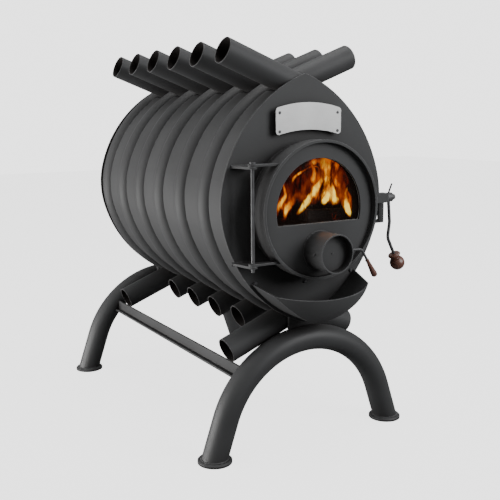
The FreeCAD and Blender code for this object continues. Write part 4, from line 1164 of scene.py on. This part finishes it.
@dataclass
class Fire:
    """Ash bed, coals, split logs and flames inside the firebox."""

    bed_half_width: float = 104.0 * MM
    bed_margin: float = 18.0 * MM
    bed_top: float = 448.0 * MM
    bed_depth: float = 58.0 * MM
    bed_crown: float = 12.0 * MM
    bed_rim: float = 20.0 * MM
    bed_taper: float = 0.9
    bed_cells: tuple[int, int] = (26, 80)
    lump_scale: float = 26.0
    lump_height: float = 9.0 * MM
    coal_density: float = 1800.0
    coal_size: float = 9.0 * MM
    log_cells: tuple[int, int] = (40, 44)
    split_share: float = 0.52
    bark_share: float = 0.12
    end_share: float = 0.96
    back_tongues: int = 26
    drawn_width: float = 1.15
    ember_glow: float = 0.9
    char_glow: float = 0.7
    flame_glow: float = 2.0
    sight_start: Vector = field(default_factory=lambda: Vector((-7.0, -277.0, 0.0)) * MM)
    sight_way: Vector = field(default_factory=lambda: Vector((0.8627, -0.5057, 0.0)))
    seed: int = 5
    draws: random.Random = field(init=False)

    def __post_init__(self) -> None:
        """Fix the random draws."""
        self.draws = random.Random(self.seed)

    def bounds(self) -> tuple[float, float]:
        """Front and back of the space between the end plates."""
        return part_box("front_plate")[1].y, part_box("rear_plate")[0].y

    def bed(self, material: Material) -> Piece:
        """Lumpy bed of ash in the bottom of the firebox."""
        front, rear = self.bounds()
        columns, rows = self.bed_cells
        shape = bmesh.new()
        top, under = [], []
        for j in range(rows + 1):
            y = front + self.bed_margin + (rear - front - 2 * self.bed_margin) * j / rows
            for i in range(columns + 1):
                u = 2 * i / columns - 1
                x = self.bed_half_width * u
                lump = rough_at(Vector((x, y, 0.0)) * self.lump_scale) * self.lump_height
                low = self.bed_top - self.bed_rim - self.bed_depth * (1 - abs(u))
                top.append(shape.verts.new((x, y, self.bed_top + lump - self.bed_crown * u * u)))
                under.append(shape.verts.new((x * self.bed_taper, y, low)))
        width = columns + 1
        for j in range(rows):
            for i in range(columns):
                a, b, c, e = (k + j * width + i for k in (0, 1, width + 1, width))
                shape.faces.new([top[k] for k in (a, b, c, e)])
                shape.faces.new([under[k] for k in (e, c, b, a)])
        rim = [(j * width + i, (j + 1) * width + i) for j in range(rows) for i in (0, columns)]
        rim += [(j * width + i, j * width + i + 1) for i in range(columns) for j in (0, rows)]
        for a, b in rim:
            shape.faces.new([top[a], top[b], under[b], under[a]])
        return link("ash_bed", closed_mesh("ash_bed", shape, material))

    def coals(self, bed: Piece, material: Material) -> Piece:
        """Lumps of coal scattered on the bed."""
        sizes = {"Density": self.coal_density, "Size": self.coal_size, "Seed": self.seed}
        t = NodeTree("coal_tree", sizes)
        size = t.inputs
        seed = size["Seed"]
        level = t.add("ShaderNodeSeparateXYZ", {0: t.made("GeometryNodeInputNormal")}).outputs["Z"]
        facing_up = t.made("FunctionNodeCompare", {0: level, 1: 0.6}, operation="GREATER_THAN")
        where = {"Mesh": size["Geometry"], "Selection": facing_up, "Density": size["Density"], "Seed": seed}
        spots = t.made("GeometryNodeDistributePointsOnFaces", where)
        lump = t.made("GeometryNodeMeshIcoSphere", {"Radius": size["Size"], "Subdivisions": 2})
        turn = t.made("FunctionNodeRandomValue", {1: (6.2, 6.2, 6.2), "Seed": seed}, data_type="FLOAT_VECTOR")
        scale = t.made("FunctionNodeRandomValue", {0: (0.5, 0.5, 0.35), 1: (1.5, 1.2, 0.9), "Seed": seed},
                       data_type="FLOAT_VECTOR")
        spread = t.made("GeometryNodeInstanceOnPoints",
                        {"Points": spots, "Instance": lump, "Rotation": turn, "Scale": scale})
        return grow("coals", t.close(spread, material), bed.data.copy(), sizes)

    def log(self, name: str, start: Vector, end: Vector, radius: float, split: float,
            material: Material) -> Piece:
        """A split log.

        Args:
            name: the piece's name.
            start: middle of its near end.
            end: middle of its far end.
            radius: its greatest radius.
            split: turn of the split face about the log's axis, in radians.
            material: its finish.

        Returns:
            The log as a closed mesh.
        """
        along = (end - start).normalized()
        side = along.cross(Vector((0.0, 0.0, 1.0))).normalized()
        rise = side.cross(along)
        sides, steps = self.log_cells
        shape = bmesh.new()
        rows = []
        for j in range(steps + 1):
            t = j / steps
            middle = start.lerp(end, t)
            girth = radius * (self.end_share if j in (0, steps) else 1.0)
            row = []
            for a in angles_round(sides):
                wedge = min(1.0, self.split_share / max(self.split_share, math.cos(a - split)))
                bark = rough_at(Vector((math.cos(a) * 1.6, math.sin(a) * 1.6, t * 3.0 + start.x * 40)))
                r = girth * wedge * (1.0 + self.bark_share * bark)
                row.append(shape.verts.new(middle + side * (r * math.cos(a)) + rise * (r * math.sin(a))))
            rows.append(row)
        skin(shape, [[shape.verts.new(start)], *rows, [shape.verts.new(end)]], sides)
        return link(name, closed_mesh(name, shape, material))

    def logs(self, material: Material) -> list[Piece]:
        """The stack of wood: three logs on the bed, one across them and one further back."""
        rows = [
            ("log_low_left", (-66, -338, 478), (-58, 60, 480), 34, 1.2),
            ("log_low_middle", (6, -300, 476), (2, 120, 478), 32, 0.4),
            ("log_low_right", (74, -342, 479), (66, 40, 481), 34, 2.0),
            ("log_across", (137, -357, 537), (60, -312, 533), 27, 1.5),
            ("log_back", (-52, -150, 536), (40, 110, 538), 30, 0.7),
        ]
        return [self.log(name, Vector(start) * MM, Vector(end) * MM, radius * MM, split, material)
                for name, start, end, radius, split in rows]

    def ribbon(self, points: Sequence[Vector], widths: Sequence[float], across: Vector, hot: float,
               shape: Shape, layers: Sequence) -> None:
        """Add one ribbon of flame.

        Args:
            points: its spine, from foot to tip.
            widths: its width at each point of the spine.
            across: level way across the ribbon.
            hot: how hot it burns.
            shape: the mesh under construction.
            layers: the attribute layers for rise, core and hot.
        """
        rise_layer, core_layer, hot_layer = layers
        fine, columns = 8, 10
        spine = smooth_path(points, fine)
        girth = smooth_path([Vector((w, 0.0, 0.0)) for w in widths], fine)
        depth = across.cross(Vector((0.0, 0.0, 1.0)))
        last = len(spine) - 1
        rows = []
        for j, (p, w) in enumerate(zip(spine, girth)):
            ahead = (spine[min(j + 1, last)] - spine[max(j - 1, 0)]).normalized()
            way = depth.cross(ahead).normalized()
            way = way if way.dot(across) > 0 else -way
            half = max(0.5 * w.x, 0.4 * MM)
            row = []
            for i in range(columns + 1):
                u = 2 * i / columns - 1
                v = shape.verts.new(p + way * (half * u) + depth * (0.3 * half * (1 - u * u)))
                v[rise_layer] = j / last
                v[core_layer] = (1 - u * u) ** 0.9
                v[hot_layer] = hot
                row.append(v)
            rows.append(row)
        for low, high in zip(rows, rows[1:]):
            for i in range(columns):
                shape.faces.new([low[i], low[i + 1], high[i + 1], high[i]]).smooth = True

    def drawn(self, tongue: Tongue, shape: Shape, layers: Sequence) -> None:
        """Add a drawn flame in the sight of the window."""
        back = Vector((-self.sight_way.y, self.sight_way.x, 0.0))
        points = [self.sight_start + self.sight_way * (side * MM) + back * (tongue.depth * MM) +
                  Vector((0.0, 0.0, height * MM)) for side, height, _ in tongue.spine]
        widths = [self.drawn_width * width * MM for _, _, width in tongue.spine]
        self.ribbon(points, widths, self.sight_way, tongue.hot, shape, layers)

    def strays(self, shape: Shape, layers: Sequence) -> None:
        """Add the small flames further back and to the left."""
        front, _ = self.bounds()
        for _ in range(self.back_tongues):
            x = self.draws.uniform(-100, 70) * MM
            y = front + self.draws.uniform(90, 420) * MM
            foot = Vector((x, y, self.draws.uniform(500, 540) * MM))
            height = self.draws.uniform(45, 120) * MM
            width = self.draws.uniform(16, 34) * MM
            lean = self.draws.uniform(-26, 26) * MM
            turn = self.draws.uniform(-0.7, 0.7)
            across = Vector((math.cos(turn), math.sin(turn), 0.0))
            points, widths = [], []
            for share, girth in ((0.0, 0.5), (0.25, 1.0), (0.5, 0.8), (0.75, 0.45), (1.0, 0.1)):
                sway = lean * share * share + 0.25 * width * math.sin(5.0 * share + x * 90)
                points.append(foot + across * sway + Vector((0.0, 0.0, height * share)))
                widths.append(width * girth)
            self.ribbon(points, widths, across, self.draws.uniform(0.3, 0.6), shape, layers)

    def flames(self, material: Material) -> Piece:
        """All flames in one mesh."""
        shape = bmesh.new()
        layers = [shape.verts.layers.float.new(name) for name in ("rise", "core", "hot")]
        for tongue in TONGUES:
            self.drawn(tongue, shape, layers)
        self.strays(shape, layers)
        return link("flames", mesh_of("flames", shape, material))

    def build(self) -> None:
        """Make the fire and put it on the stove."""
        ember = Embers("embers", self.ember_glow).material()
        char = CharredLog("charred log", self.char_glow).material()
        bed = self.bed(ember)
        pieces = [bed, self.coals(bed, ember), *self.logs(char)]
        pieces.append(self.flames(Flame("flame", self.flame_glow).material()))
        for piece in pieces:
            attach(piece, Body.STOVE.value)
            LOG.info("%s rides on %s", piece.name, Body.STOVE.value)


@dataclass
class Studio:
    """Floor, lights and the camera at the photograph's view."""

    azimuth: float = -30.45
    elevation: float = 10.09
    distance: float = 2.03238
    target: tuple[float, float, float] = (0.0, -0.088828, 0.41941)
    roll: float = -0.54
    lens: float = 54.258
    sensor: float = 36.0
    shift: tuple[float, float] = (0.02004, 0.0004)
    horizon_light: float = 0.2
    overhead_light: float = 0.8
    backdrop: float = 2.7
    floor_half: float = 9.0
    glow_power: float = 1.3
    glow_colour: Colour = (1.0, 0.36, 0.09)
    glow_cone: float = math.radians(26.0)
    glow_offset: tuple[float, float] = (0.02, 0.085)
    glow_aim: tuple[float, float] = (-0.01, 0.045)

    def camera(self) -> None:
        """Set the camera."""
        data = bpy.data.cameras.new("photo_view")
        data.lens = self.lens
        data.sensor_width = self.sensor
        data.shift_x, data.shift_y = self.shift
        camera = bpy.data.objects.new("photo_view", data)
        bpy.context.scene.collection.objects.link(camera)
        turn, tilt = math.radians(self.azimuth), math.radians(self.elevation)
        away = Vector((math.sin(turn) * math.cos(tilt), -math.cos(turn) * math.cos(tilt), math.sin(tilt)))
        look = (-away).to_track_quat("-Z", "Y").to_matrix().to_4x4()
        spin = Matrix.Rotation(math.radians(self.roll), 4, "Z")
        camera.matrix_world = Matrix.Translation(Vector(self.target) + away * self.distance) @ look @ spin
        bpy.context.scene.camera = camera

    def lamp(self, name: str, place: Vector, aim: Vector, size: tuple[float, float], power: float,
             colour: Colour) -> None:
        """Add one soft lamp.

        Args:
            name: the lamp's name.
            place: where it stands.
            aim: what it looks at.
            size: its width and height.
            power: its power in watts.
            colour: its light.
        """
        data = bpy.data.lights.new(name, "AREA")
        data.shape = "RECTANGLE"
        data.size, data.size_y = size
        data.energy = power
        data.color = colour
        self.stand(data, place, aim)

    def stand(self, data: bpy.types.Light, place: Vector, aim: Vector) -> None:
        """Stand a light at a place and turn it to its aim."""
        lamp = bpy.data.objects.new(data.name, data)
        bpy.context.scene.collection.objects.link(lamp)
        turn = (aim - place).to_track_quat("-Z", "Y").to_matrix().to_4x4()
        lamp.matrix_world = Matrix.Translation(place) @ turn

    def fire_glow(self) -> None:
        """Warm light that falls through the window on the air inlet."""
        data = bpy.data.lights.new("fire_glow", "SPOT")
        data.energy = self.glow_power
        data.color = self.glow_colour
        data.shadow_soft_size = 0.05
        data.spot_size = self.glow_cone
        data.spot_blend = 0.9
        low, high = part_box("air_inlet_tube")
        aim = Vector(((low.x + high.x) / 2 + self.glow_aim[0], low.y + self.glow_aim[1], high.z))
        place = Vector((self.glow_offset[0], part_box("front_plate")[0].y, high.z + self.glow_offset[1]))
        self.stand(data, place, aim)

    def floor(self) -> None:
        """Lay the floor."""
        mesh = bpy.data.meshes.new("studio_floor")
        half = self.floor_half
        corners = [(-half, -half, 0.0), (half, -half, 0.0), (half, half, 0.0), (-half, half, 0.0)]
        mesh.from_pydata(corners, [], [(0, 1, 2, 3)])
        finish = PaleFloor("pale floor", seen=(0.95, 0.95, 0.95), bounce=(0.16, 0.16, 0.16), lift=2.5)
        mesh.materials.append(finish.material())
        link("studio_floor", mesh)

    def surroundings(self) -> None:
        """Soft light that is strongest overhead, and a pale backdrop that only the camera sees."""
        world = bpy.data.worlds.new("studio")
        world.use_nodes = True
        s = NodeSketch(world.node_tree)
        s.tree.nodes.clear()
        sky = s.add("ShaderNodeTexCoord").outputs["Generated"]
        up = s.add("ShaderNodeSeparateXYZ", {0: sky}).outputs["Z"]
        soft = s.spread(up, self.horizon_light, self.overhead_light)
        direct = s.add("ShaderNodeLightPath").outputs["Is Camera Ray"]
        white = (1.0, 1.0, 1.0, 1.0)
        light = s.made("ShaderNodeBackground", {"Color": white, "Strength": soft})
        backdrop = s.made("ShaderNodeBackground", {"Color": white, "Strength": self.backdrop})
        whole = s.made("ShaderNodeMixShader", {0: direct, 1: light, 2: backdrop})
        s.add("ShaderNodeOutputWorld", {"Surface": whole})
        bpy.context.scene.world = world

    def build(self) -> None:
        """Set up floor, lamps and camera."""
        self.floor()
        self.surroundings()
        aim = Vector((-0.1, 0.0, 0.52))
        flank = Vector((-0.3, 0.35, 0.5))
        warm = (1.0, 0.995, 0.985)
        self.lamp("side_lamp", Vector((-2.9, 0.55, 0.85)), flank, (3.0, 1.5), 64.0, warm)
        self.lamp("low_lamp", Vector((-1.9, 0.7, 0.11)), flank, (2.2, 0.18), 75.0, warm)
        self.lamp("top_lamp", Vector((0.1, -0.2, 3.2)), aim, (1.8, 1.8), 80.0, (1.0, 1.0, 1.0))
        self.lamp("front_lamp", Vector((1.7, -2.9, 1.75)), aim, (1.8, 1.8), 150.0, (0.98, 0.99, 1.0))
        self.fire_glow()
        self.camera()


def main() -> None:
    """Dress the frame, add the pieces and set up the studio."""
    logging.basicConfig(level=logging.INFO, format="%(message)s")
    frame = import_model()
    wardrobe = Wardrobe()
    wardrobe.make()
    wardrobe.dress(frame)
    for part in (Fixings(), DoorRope(), WoodenHandles(), WeldSeams()):
        part.build(wardrobe)
    Fire().build()
    Studio().build()


if __name__ == "__main__":
    main()
